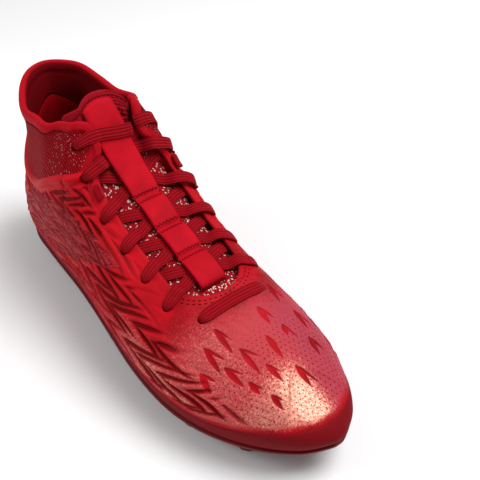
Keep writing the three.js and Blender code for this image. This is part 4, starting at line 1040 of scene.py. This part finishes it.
def make_collar():
    side_columns = 110
    levels = 44
    over = 10
    lining = 14
    start = place_of(collar_end(1), 1)
    end = collar_end(-1)
    span = ROUND - start + end
    columns = 2 * side_columns
    rows = levels + over + lining + 1
    places = [(start + span * k / columns) % ROUND for k in range(columns + 1)]
    reached = [0.0]
    for k in range(columns):
        step = skin(places[k + 1], 0.8) - skin(places[k], 0.8)
        reached.append(reached[-1] + step.length)
    total = reached[-1]

    def section(i):
        place = places[i]
        low = seam_share(place) - 2 * MM * rib_share(place)
        return place, low, throat_share(place)

    def half_thickness(down, i):
        """Half the wall, down from the rim: plump in the binding, with a groove under it."""
        base = KNIT_WALL / 2
        down = max(down, RIM_BAND / 2)
        swell = (RIM_PLUMP - base) * math.sqrt(max(1 - (2 * down / RIM_BAND - 1) ** 2, 0))
        groove = 0.35 * MM * math.exp(-((down - RIM_BAND - 0.5 * MM) / (0.7 * MM)) ** 2)
        ends = min(reached[i], total - reached[i]) / (1.6 * MM)
        rounding = math.sqrt(1 - (1 - min(ends, 1)) ** 2)
        return (base + swell - groove) * rounding

    middle_lift = KNIT_WALL - WALL - KNIT_WALL / 2

    def at(i, j):
        place, low, high = section(i)
        height = (high - low) / rib_share(place)
        if j <= levels:
            up = height * (j / levels) ** 0.8
            return lifted(place, low + up * rib_share(place), middle_lift + half_thickness(height - up, i))
        if j <= levels + over:
            angle = math.pi * (j - levels) / over
            radius = half_thickness(0, i)
            base = lifted(place, min(high, 1), middle_lift + math.cos(angle) * radius)
            up = (skin(place, min(high, 0.999)) - skin(place, min(high, 0.999) - 0.02)).normalized()
            return base + up * (math.sin(angle) * radius)
        if j < rows:
            share = (j - levels - over) / lining
            up = height * (1 - share) ** 0.8
            return lifted(place, low + up * rib_share(place), middle_lift - half_thickness(height - up, i))
        return at(i, 0)

    mesh = grid(columns, rows, at)
    unwrapped(mesh, lambda i, j: (reached[i], (j if j <= levels else 2 * levels - j) * MM))
    column = mesh.verts.layers.int["column"]
    row = mesh.verts.layers.int["row"]
    knit = mesh.verts.layers.float.new("knit")
    flecks = mesh.verts.layers.float.new("flecks")
    inside = mesh.verts.layers.float.new("lining")
    for vert in mesh.verts:
        i, j = vert[column], vert[row]
        place, low, high = section(i)
        height = (high - low) / rib_share(place)
        down = height - height * (min(j, levels) / levels) ** 0.8
        rib = rib_of(place)
        front = ramp(rib, 2.2, 2.6) * ramp(min(reached[i], total - reached[i]), 8 * MM, 9.5 * MM)
        outside = 1.0 if j < levels else 0.0
        vert[knit] = front * outside * ramp(down, RIM_BAND + 0.5 * MM, RIM_BAND + 2 * MM)
        vert[flecks] = vert[knit] * ramp(rib, 4.9, 5.5) * 0.8
        vert[inside] = ramp(j, levels + over - 2, levels + over + 1)
    closed(mesh)
    cut_eyelets(mesh, [6])
    return piece("collar_cuff", mesh, KNIT, ["collar"])


# The tongue, the strap and the laces lie on a copy of the last's top.

def last_surface():
    """The bare last, for rays."""
    mesh = grid(ROUND * 10, 70, lambda i, j: skin((i / 10) % ROUND, j / 70))
    closed(mesh)
    tree = BVHTree.FromBMesh(mesh)
    mesh.free()
    return tree


LAST = last_surface()
HIGH = 0.3
REACH = 1.5 * MM


def height_at(x, y):
    hit = LAST.ray_cast(Vector((x, y, HIGH)), Vector((0, 0, -1)))[0]
    return hit.z if hit else LAST.find_nearest(Vector((x, y, ridge_up(x))))[0].z


@lru_cache(None)
def saddle(x, side, lift):
    """The skin at x, side away from its ridge, moved out by lift."""
    y = ridge_side(x) + side
    along = Vector((2 * REACH, 0, height_at(x + REACH, y) - height_at(x - REACH, y)))
    across = Vector((0, 2 * REACH, height_at(x, y + REACH) - height_at(x, y - REACH)))
    return Vector((x, y, height_at(x, y))) + along.cross(across).normalized() * lift


def tongue_deep(x):
    return WALL + CLEAR + from_table(TONGUE, "deep", x) * TONGUE_DEPTH


def tongue_shift(x):
    return from_table(TONGUE, "shift", x) * HALF_THROAT


def tongue_half(x):
    return from_table(TONGUE, "half", x) * HALF_THROAT


def on_head(rib, side, lift, rise):
    """A point in the tongue's layers on a rib, moved up and back by its place in the head."""
    x = crown(rib).x
    across = clamp((side - tongue_shift(x)) / tongue_half(x), -1, 1)
    slanted = mix(1 - TONGUE_SLANT, 1, (across + 1) / 2) * (1 - TONGUE_ROUND * across ** 4)
    wing = clamp((-across - WING_FROM) / (1 - WING_FROM)) ** WING_POWER / TONGUE_LIFT
    return on_rib(rib, side, lift) + rise * Vector((-slanted * math.cos(TONGUE_LEAN) - wing * WING_BACK, 0,
                                                    slanted * math.sin(TONGUE_LEAN) + wing * WING_UP))


TONGUE_RIB = RIM_RIB + 0.15
TONGUE_TUCK = 14 * MM
TONGUE_HEAD_ROWS = 14
TONGUE_BODY_ROWS = 70
TONGUE_COLUMNS = 44
HEAD_SHAPE = {"rise": (0.0, 0.4, 0.75, 0.93, 1.0), "half": (1.0, 1.0, 0.99, 0.94, 0.86)}


def make_tongue():
    end = solve(RIM_RIB, TOE_RIB, lambda rib: crown(rib).x - THROAT_END - TONGUE_TUCK)
    rows = []
    for k in range(TONGUE_HEAD_ROWS):
        rise = 1 - (k / TONGUE_HEAD_ROWS) ** 1.5
        rows.append((TONGUE_RIB, rise, in_steps(HEAD_SHAPE, "half", "rise", rise)))
    rows += [(mix(TONGUE_RIB, end, k / TONGUE_BODY_ROWS), 0.0, 1.0) for k in range(TONGUE_BODY_ROWS + 1)]
    count = len(rows) - 1
    around = 2 * TONGUE_COLUMNS

    def at(i, j):
        rib, rise, width = rows[i]
        k = j if j <= TONGUE_COLUMNS else around - j
        across = k / TONGUE_COLUMNS * 2 - 1
        x = crown(rib).x
        head = math.sqrt(1 - (1 - min(i / 4, 1)) ** 2)
        edge = math.sqrt(1 - abs(across) ** 8)
        thick = TONGUE_THICKNESS * (1 - 0.6 * across ** 6) * edge * head
        middle = -tongue_deep(x) - TONGUE_THICKNESS * (1 - 0.6 * across ** 6) / 2
        lift = middle + (thick / 2 if j <= TONGUE_COLUMNS else -thick / 2)
        side = across * width * tongue_half(x) + tongue_shift(x)
        return on_head(rib, side, lift, rise * TONGUE_LIFT)

    mesh = grid(count, around, at)
    rise_of = [rise * TONGUE_LIFT for _, rise, _ in rows]
    fall_of = [(crown(rib).x - crown(TONGUE_RIB).x) * 1.3 for rib, _, _ in rows]
    unwrapped(mesh, lambda i, j: (fall_of[i] - rise_of[i],
                                  (min(j, around - j) / TONGUE_COLUMNS * 2 - 1) * 26 * MM))
    column = mesh.verts.layers.int["column"]
    row = mesh.verts.layers.int["row"]
    spots = {name: mesh.verts.layers.float.new(name) for name in ("mesh", "pale", "ribbed")}
    for vert in mesh.verts:
        i = vert[column]
        across = min(vert[row], around - vert[row]) / TONGUE_COLUMNS * 2 - 1
        down = fall_of[i] - rise_of[i] + TONGUE_LIFT
        vert[spots["mesh"]] = ramp(down, 7 * MM, 9 * MM)
        vert[spots["pale"]] = ramp(down, 22 * MM, 40 * MM)
        vert[spots["ribbed"]] = ramp(across, 0.3, 0.4) * ramp(down, 30 * MM, 24 * MM)
    closed(mesh)
    return piece("tongue_pad", mesh, MESH, ["tongue"])


STITCHED = [share * FOOT_LENGTH for share in (0.322, 0.444, 0.514, 0.584, 0.662)]
STRAP_FLARE = 1.2
STRAP_HEAD = 3.5 * MM


def strap_lift(x):
    x = clamp(x, STITCHED[0], STITCHED[-1])
    run = 1
    while run < len(STITCHED) - 1 and STITCHED[run] < x:
        run += 1
    share = clamp((x - STITCHED[run - 1]) / (STITCHED[run] - STITCHED[run - 1]))
    return 2 * CLEAR + STRAP_LIFT * (4 * share * (1 - share)) ** 0.4


def strap_half(x):
    return STRAP_WIDTH / 2 * mix(STRAP_FLARE, 1, clamp((x - STITCHED[0]) / (STITCHED[1] - STITCHED[0])))


def make_strap():
    steps = 20
    xs = []
    for run in range(len(STITCHED) - 1):
        xs += [mix(STITCHED[run], STITCHED[run + 1], k / steps) for k in range(0 if run == 0 else 1, steps + 1)]
    start = crown(TONGUE_RIB).x + 2 * MM
    xs = [x for x in xs if x > start]
    head_rows = 6
    columns = 16
    around = 2 * columns
    count = head_rows + len(xs) - 1

    def at(i, j):
        k = j if j <= columns else around - j
        across = k / columns * 2 - 1
        edge = math.sqrt(1 - abs(across) ** 10)
        ends = min(i, count - i) / 2
        closing = math.sqrt(1 - (1 - min(ends, 1)) ** 2)
        thick = STRAP_THICKNESS * edge * closing
        x = xs[max(i - head_rows, 0)]
        lift = strap_lift(x) - tongue_deep(x) + STRAP_THICKNESS / 2
        half = strap_half(x)
        lift_here = lift + (thick / 2 if j <= columns else -thick / 2)
        body = saddle(x, across * half + tongue_shift(x), lift_here)
        if i >= head_rows:
            return body
        x = crown(TONGUE_RIB).x
        top_lift = CLEAR - tongue_deep(x) + STRAP_THICKNESS / 2 + (thick / 2 if j <= columns else -thick / 2)
        top = on_head(TONGUE_RIB, across * strap_half(0) + tongue_shift(x), top_lift, STRAP_HEAD)
        return top.lerp(body, i / head_rows)

    mesh = grid(count, around, at)
    closed(mesh)
    return piece("strap_band", mesh, STRAP, ["strap"])


# Laces

RIBBON_SIDES = 24
ON_SHELL = 2 * CLEAR + LACE_THICKNESS / 2
HOLE_GAP = EYELET_RADIUS + CLEAR


def lace_on_tongue(x):
    return ON_SHELL - tongue_deep(x) + CLEAR


Stop = namedtuple("Stop", "x side lift width")


def section_at(j):
    """A corner of the lace's flat section, across and through it, each from -1 to 1."""
    angle = 2 * math.pi * j / RIBBON_SIDES
    across, out = math.cos(angle), math.sin(angle)
    return math.copysign(abs(across) ** 0.6, across), math.copysign(abs(out) ** 0.3, out)


def ribbon(name, stops, replaced, steps=4):
    """A flat lace along its stops, each a point of the skin with the lace's width there."""
    frames = []
    for k in range((len(stops) - 1) * steps + 1):
        first = min(k // steps, len(stops) - 2)
        share = k / steps - first
        four = [stops[min(max(first + m, 0), len(stops) - 1)] for m in (-1, 0, 1, 2)]
        x, side, lift, width = (through(*column, share) for column in zip(*four))
        point = saddle(x, side, lift)
        frames.append((point, (saddle(x, side, lift + MM) - point).normalized(), width))
    count = len(frames) - 1
    reached = [0.0]
    for k in range(count):
        reached.append(reached[-1] + (frames[k + 1][0] - frames[k][0]).length)

    def at(i, j):
        point, normal, width = frames[i]
        along = (frames[min(i + 1, count)][0] - frames[max(i - 1, 0)][0]).normalized()
        across = normal.cross(along).normalized()
        out = along.cross(across)
        closing = math.sqrt(1 - (1 - min(min(i, count - i) / 1.5, 1)) ** 2)
        u, v = section_at(j)
        thick = LACE_THICKNESS * mix(1.45, 1, clamp(width / LACE_WIDTH))
        return point + (across * u * width / 2 + out * v * thick / 2) * closing

    mesh = grid(count, RIBBON_SIDES, at)
    unwrapped(mesh, lambda i, j: (reached[i], LACE_WIDTH * section_at(j)[0] / 2))
    closed(mesh)
    return piece(name, mesh, LACE, replaced)


HOLE_WIDTH = 4.0 * MM
UNDER = -WALL - 1.2 * MM
STRAND_STEPS = 14
STRAND_HOLD = 1.8 * MM
STRAND_DIP = 7.2 * MM
Crossing = namedtuple("Crossing", "row sag rides")
CROSSINGS = [Crossing(1, 0, 0), Crossing(2, 0, 0), Crossing(3, 0, 1 * MM),
             Crossing(4, 0, 3 * MM), Crossing(5, 2.4 * MM, 2.2 * MM)]


def strand_stops(crossing, start_side):
    """From out of one eyelet, over the throat's edge and under the strap, to below the next one opposite."""
    row, sag, rides = crossing
    low, high = eyelet_half(row), eyelet_half(row + 1)
    stops = [Stop(eyelet_x(row), start_side * low, UNDER, HOLE_WIDTH),
             Stop(eyelet_x(row), start_side * low, -0.2 * MM, HOLE_WIDTH * 1.05)]
    for k in range(STRAND_STEPS + 1):
        across = mix(HOLE_GAP - low, high - HOLE_GAP, k / STRAND_STEPS)
        share = (across + low) / (low + high)
        x = mix(eyelet_x(row), eyelet_x(row + 1), share) + sag * math.sin(math.pi * share)
        inside = throat_half(x) - abs(across)
        down = ramp(inside, STRAND_HOLD, STRAND_DIP) if across < 0 else 1.0
        width = LACE_WIDTH * mix(0.88, 1, ramp(k, 0, 1.5))
        stops.append(Stop(x, start_side * -across, mix(ON_SHELL + rides, lace_on_tongue(x), down), width))
    return stops


def make_laces():
    half = eyelet_half(0)
    inner = half - HOLE_GAP
    bar = [Stop(eyelet_x(0), -half, UNDER, HOLE_WIDTH), Stop(eyelet_x(0), -half, 0, HOLE_WIDTH)]
    for k in range(11):
        width = LACE_WIDTH * mix(0.88, 1, ramp(min(k, 10 - k), 0, 1))
        bar.append(Stop(eyelet_x(0), mix(-inner, inner, k / 10), ON_SHELL, width))
    bar += [Stop(eyelet_x(0), half, 0, HOLE_WIDTH), Stop(eyelet_x(0), half, UNDER, HOLE_WIDTH)]
    ribbon("lace_across_vamp", bar, ["lace_bar"])
    for crossing in CROSSINGS:
        for side, word in ((-1, "outer"), (1, "inner")):
            name = f"lace_{crossing.row}_from_{word}"
            ribbon(name, strand_stops(crossing, side), [f"lace_crossing_{crossing.row}"])
    make_top_lace()
    make_loop_lace()
    for side, word in ((-1, "outer"), (1, "inner")):
        make_lace_tip(side, word)


ON_KNIT = ON_SHELL + KNIT_WALL - WALL
TOP_STEPS = 10
TOP_SAG = 2.5 * MM
TOP_OVER = 4 * MM


def make_top_lace():
    half = eyelet_half(6)
    strap_edge = STRAP_WIDTH * STRAP_FLARE / 2 + 1 * MM
    stops = [Stop(eyelet_x(6), -half, UNDER, HOLE_WIDTH), Stop(eyelet_x(6), -half, 0, HOLE_WIDTH)]
    for k in range(TOP_STEPS + 1):
        side = mix(HOLE_GAP - half, strap_edge - 2 * MM, k / TOP_STEPS)
        x = eyelet_x(6) + TOP_SAG * smooth(k / TOP_STEPS)
        over_strap = strap_lift(x) - tongue_deep(x) + STRAP_THICKNESS + ON_SHELL
        share = smooth((side + strap_edge + TOP_OVER) / TOP_OVER)
        stops.append(Stop(x, side, mix(ON_KNIT, over_strap, share), LACE_WIDTH * mix(0.75, 1, ramp(k, 0, 2))))
    ribbon("lace_over_strap", stops, ["lace_top"])


def make_loop_lace():
    half = eyelet_half(6)
    x = eyelet_x(6)
    edge = throat_half(x)
    stops = [Stop(x, half, UNDER, HOLE_WIDTH), Stop(x, half, 0, HOLE_WIDTH)]
    for k in range(7):
        side = mix(half - HOLE_GAP, edge - 3 * MM, k / 6)
        dip = smooth((edge - CLEAR - side) / (3 * MM))
        stops.append(Stop(x + k * MM / 6, side, ON_KNIT - 2.2 * MM * dip, LACE_WIDTH * mix(0.8, 1, ramp(k, 0, 2))))
    ribbon("lace_over_flap", stops, ["lace_loop"])


TIP_X = 0.388 * FOOT_LENGTH
TIP_LENGTH = 8 * MM
TIP_RADIUS = 1.9 * MM


def make_lace_tip(side, word):
    across = side * (throat_half(TIP_X) + 3 * MM)
    lift = TIP_RADIUS + 4 * CLEAR
    stops = [Stop(TIP_X + TIP_LENGTH * k / 5, across, lift, 2 * TIP_RADIUS) for k in range(6)]
    ribbon(f"lace_tip_{word}", stops, [f"lace_end_{word}"])


# The outsole

def sole_point(place, spread, rise):
    return foot(place) + outwards(place) * spread + Vector((0, 0, rise - CLEAR))


Stud = namedtuple("Stud", "along side turn size")
STUDS = [
    Stud(0.085, -0.42, 24, 1), Stud(0.085, 0.38, -24, 1), Stud(0.175, -0.58, 6, 1), Stud(0.19, 0.44, -4, 1),
    Stud(0.6, -0.72, -6, 1), Stud(0.6, 0.42, 16, 1), Stud(0.75, -0.77, 6, 1), Stud(0.71, 0.68, 8, 1),
    Stud(0.865, -0.44, 34, 0.92), Stud(0.835, 0.73, -10, 0.95),
    Stud(0.915, -0.2, 50, 0.62), Stud(0.93, 0.42, -50, 0.62),
]
TOE_STUDS = 2
STUD_LONG, STUD_WIDE, TIP_LONG, TIP_WIDE = 15 * MM, 10.5 * MM, 9 * MM, 5.5 * MM
PAD, PAD_HEIGHT, TOE_TIP = 3 * MM, 1.2 * MM, 6 * MM


def make_outsole():
    columns = ROUND * 12
    places = [k / 12 for k in range(columns)]
    step = 0.25 * MM
    rings = [  # spread and rise, from the middle of the underside to the middle of the top
        (-16 * MM, -PLATE_THICKNESS + 0.5 * MM),
        (-6 * MM, -PLATE_THICKNESS),
        (PLATE_LIP - PLATE_STEP - PLATE_DRAFT - step, -PLATE_THICKNESS),
        (PLATE_LIP - PLATE_STEP - PLATE_DRAFT + step, -PLATE_THICKNESS + step),
        (PLATE_LIP - PLATE_STEP, -PLATE_BAND - step),
        (PLATE_LIP - PLATE_STEP + step, -PLATE_BAND),
        (PLATE_LIP - step, -PLATE_BAND),
        (PLATE_LIP, -PLATE_BAND + step),
        (PLATE_LIP, -step),
        (PLATE_LIP - step, 0),
        (-4 * MM, 0),
    ]

    def at(i, j):
        spread, rise = rings[j]
        place = places[i % columns]
        return sole_point(place, spread, rise)

    mesh = grid(columns, len(rings) - 1, at)
    closed(mesh)
    holes = [edge for edge in mesh.edges if edge.is_boundary]
    bmesh.ops.holes_fill(mesh, edges=holes, sides=0)
    bmesh.ops.recalc_face_normals(mesh, faces=mesh.faces)
    for index, stud in enumerate(STUDS):
        add_stud(mesh, stud, TOE_TIP if index >= len(STUDS) - TOE_STUDS else 0.0)
    return piece("sole_plate", mesh, PLATE, ["outsole"])


def rib_lift(x):
    table = {"along": [rib.along for rib in RIBS], "lift": [rib.lift for rib in RIBS]}
    return from_table(table, "lift", x)


def add_stud(mesh, stud, tip):
    """A stud of rounded blade sections, from inside the plate down to its flat tip."""
    x = stud.along * FOOT_LENGTH
    base = rib_lift(x) * SPRING + STUD_LENGTH
    sections = [
        (tip, TIP_LONG - 1 * MM, TIP_WIDE - 1 * MM),
        (tip + 0.2 * MM, TIP_LONG - 0.3 * MM, TIP_WIDE - 0.3 * MM),
        (tip + 0.6 * MM, TIP_LONG, TIP_WIDE),
        (max(base - PAD_HEIGHT, tip + 1 * MM), STUD_LONG, STUD_WIDE),
        (max(base - PAD_HEIGHT, tip + 1 * MM) + 0.05 * MM, STUD_LONG + PAD - 0.5 * MM, STUD_WIDE + PAD - 0.5 * MM),
        (max(base - PAD_HEIGHT, tip + 1 * MM) + 0.3 * MM, STUD_LONG + PAD, STUD_WIDE + PAD),
        (base + PLATE_THICKNESS / 2, STUD_LONG + PAD + 1 * MM, STUD_WIDE + PAD + 1 * MM),
    ]
    sides = 40
    turn = Matrix.Rotation(math.radians(stud.turn), 4, "Z")
    rings = []
    for z, long, wide in sections:
        ring = bmesh.ops.create_circle(mesh, segments=sides, radius=0.5)["verts"]
        for vert in ring:
            for axis, size in ((0, long), (1, wide)):
                value = 2 * vert.co[axis]
                vert.co[axis] = math.copysign(abs(value) ** 0.7, value) * size / 2 * stud.size
        bmesh.ops.transform(mesh, matrix=Matrix.Translation((x, stud.side * HALF_BALL, z)) @ turn, verts=ring)
        rings.append(ring)
    loops = [list({edge for vert in ring for edge in vert.link_edges}) for ring in rings]
    faces = []
    for low, high in zip(loops, loops[1:]):
        faces += bmesh.ops.bridge_loops(mesh, edges=low + high)["faces"]
    for ring in (rings[0], rings[-1]):
        faces += bmesh.ops.contextual_create(mesh, geom=ring)["faces"]
    bmesh.ops.recalc_face_normals(mesh, faces=faces)


# Stitches

STITCH_RADIUS = 0.38 * MM
STITCH_INSET = 0.12  # share of a stitch that is sunk at each end
ZIGZAG = 1.9 * MM


def zigzag(length, step, height):
    """A zigzag as steps along a length, each with its height."""
    count = round(length / step)
    return [(length * k / count, height * (k % 2 * 2 - 1) / 2) for k in range(count + 1)]


def dashes(length, step):
    """A running seam: the start and the end of each stitch along a length."""
    count = round(length / step)
    return [(length * k / count, length * (k + 0.65) / count) for k in range(count)]


def stitches(name, pairs):
    """Small rounded bars of thread, one from start to end for each pair, joined in one mesh."""
    mesh = bmesh.new()
    for start, end in pairs:
        along = (end - start) * (1 - STITCH_INSET)
        turn = along.to_track_quat("X", "Z").to_matrix().to_4x4()
        size = Matrix.Diagonal((along.length / 2, STITCH_RADIUS, STITCH_RADIUS, 1))
        middle = Matrix.Translation((start + end) / 2)
        bmesh.ops.create_icosphere(mesh, subdivisions=1, radius=1, matrix=middle @ turn @ size)
    return piece(name, mesh, THREAD)


def chained(points):
    return list(zip(points, points[1:]))


def strap_stitches():
    pairs = []
    for x in STITCHED[1:4]:
        for shift in (-2.3 * MM, 2.3 * MM):
            half = strap_half(x) - 1.2 * MM
            points = []
            for across, height in zigzag(2 * half, 1.3 * MM, ZIGZAG):
                here = x + shift + height
                lift = strap_lift(here) - tongue_deep(here) + STRAP_THICKNESS
                points.append(saddle(here, across - half + tongue_shift(here), lift))
            pairs += chained(points)
    stitches("strap_stitches", pairs)


def throat_stitches():
    """Two running seams round the throat's lower end."""
    pairs = []
    for outside in (2.2 * MM, 4.4 * MM):
        def at(arc):
            angle = arc / THROAT_ROUND - 1.35
            x = THROAT_END - THROAT_ROUND + (THROAT_ROUND + outside) * math.cos(angle)
            return saddle(x, (HALF_THROAT + outside) * math.sin(angle), 0.1 * MM)
        pairs += [(at(start), at(end)) for start, end in dashes(2.7 * THROAT_ROUND, 2.6 * MM)]
    stitches("throat_stitches", pairs)


def rim_stitches():
    """A zigzag seam under the collar's binding."""
    start = place_of(collar_end(1), 1)
    span = ROUND - start + collar_end(-1)
    steps = 170
    points = []
    for k in range(4, steps - 3):
        place = (start + span * k / steps) % ROUND
        down = RIM_BAND + 1.6 * MM + ZIGZAG * (k % 2 - 0.5)
        points.append(lifted(place, throat_share(place) - down * rib_share(place), KNIT_WALL - WALL))
    stitches("rim_stitches", chained(points))


def tongue_stitches():
    """A zigzag seam along the tongue's head."""
    x = crown(TONGUE_RIB).x
    half = 0.84 * tongue_half(x)
    points = []
    for across, height in zigzag(2 * half, 1.4 * MM, ZIGZAG):
        rise = TONGUE_LIFT - 3.5 * MM + height
        points.append(on_head(TONGUE_RIB, across - half + tongue_shift(x), -tongue_deep(x), rise))
    stitches("tongue_stitches", chained(points))


make_shell()
make_collar()
make_tongue()
make_strap()
make_laces()
make_outsole()
strap_stitches()
throat_stitches()
rim_stitches()
tongue_stitches()
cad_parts["insole"].data.materials.clear()
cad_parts["insole"].data.materials.append(LINING)


# Floor, light and camera

def make_stage():
    mesh = bmesh.new()
    bmesh.ops.create_grid(mesh, x_segments=1, y_segments=1, size=3.0)
    data = bpy.data.meshes.new("floor")
    mesh.to_mesh(data)
    mesh.free()
    floor = bpy.data.objects.new("floor", data)
    bpy.context.scene.collection.objects.link(floor)
    tree = Tree("pale floor")
    shade = tree.noise(tree.place(), 3, 2.0)
    data.materials.append(tree.finish(Base_Color=tree.colours(shade, (0.86, 0.86, 0.87, 1), (0.9, 0.9, 0.9, 1)),
                                      Roughness=0.9))
    world = bpy.data.worlds.new("studio")
    world.use_nodes = True
    background = world.node_tree.nodes["Background"]
    background.inputs["Color"].default_value = (1, 1, 1, 1)
    background.inputs["Strength"].default_value = 0.3
    bpy.context.scene.world = world
    bpy.context.scene.view_settings.view_transform = "Standard"


def area_light(name, place, aim, size, power):
    data = bpy.data.lights.new(name, "AREA")
    data.shape = "RECTANGLE"
    data.size, data.size_y = size
    data.energy = power
    light = bpy.data.objects.new(name, data)
    light.location = place
    light.rotation_euler = (Vector(aim) - Vector(place)).to_track_quat("-Z", "Y").to_euler()
    bpy.context.scene.collection.objects.link(light)


def make_camera():
    data = bpy.data.cameras.new("camera")
    data.sensor_width = 36
    data.lens = 54.3
    camera = bpy.data.objects.new("camera", data)
    camera.location = (0.2842, -0.1616, 0.360)
    camera.rotation_euler = Vector((-0.588, 0.458, -0.667)).to_track_quat("-Z", "Y").to_euler()
    bpy.context.scene.collection.objects.link(camera)
    bpy.context.scene.camera = camera


make_stage()
area_light("overhead", (0.30, 0.50, 1.15), (0.05, 0, 0.05), (0.8, 0.8), 17)
area_light("side", (-0.50, -0.80, 0.75), (0.02, 0, 0.05), (0.4, 0.5), 5)
make_camera()

bpy.context.view_layer.update()
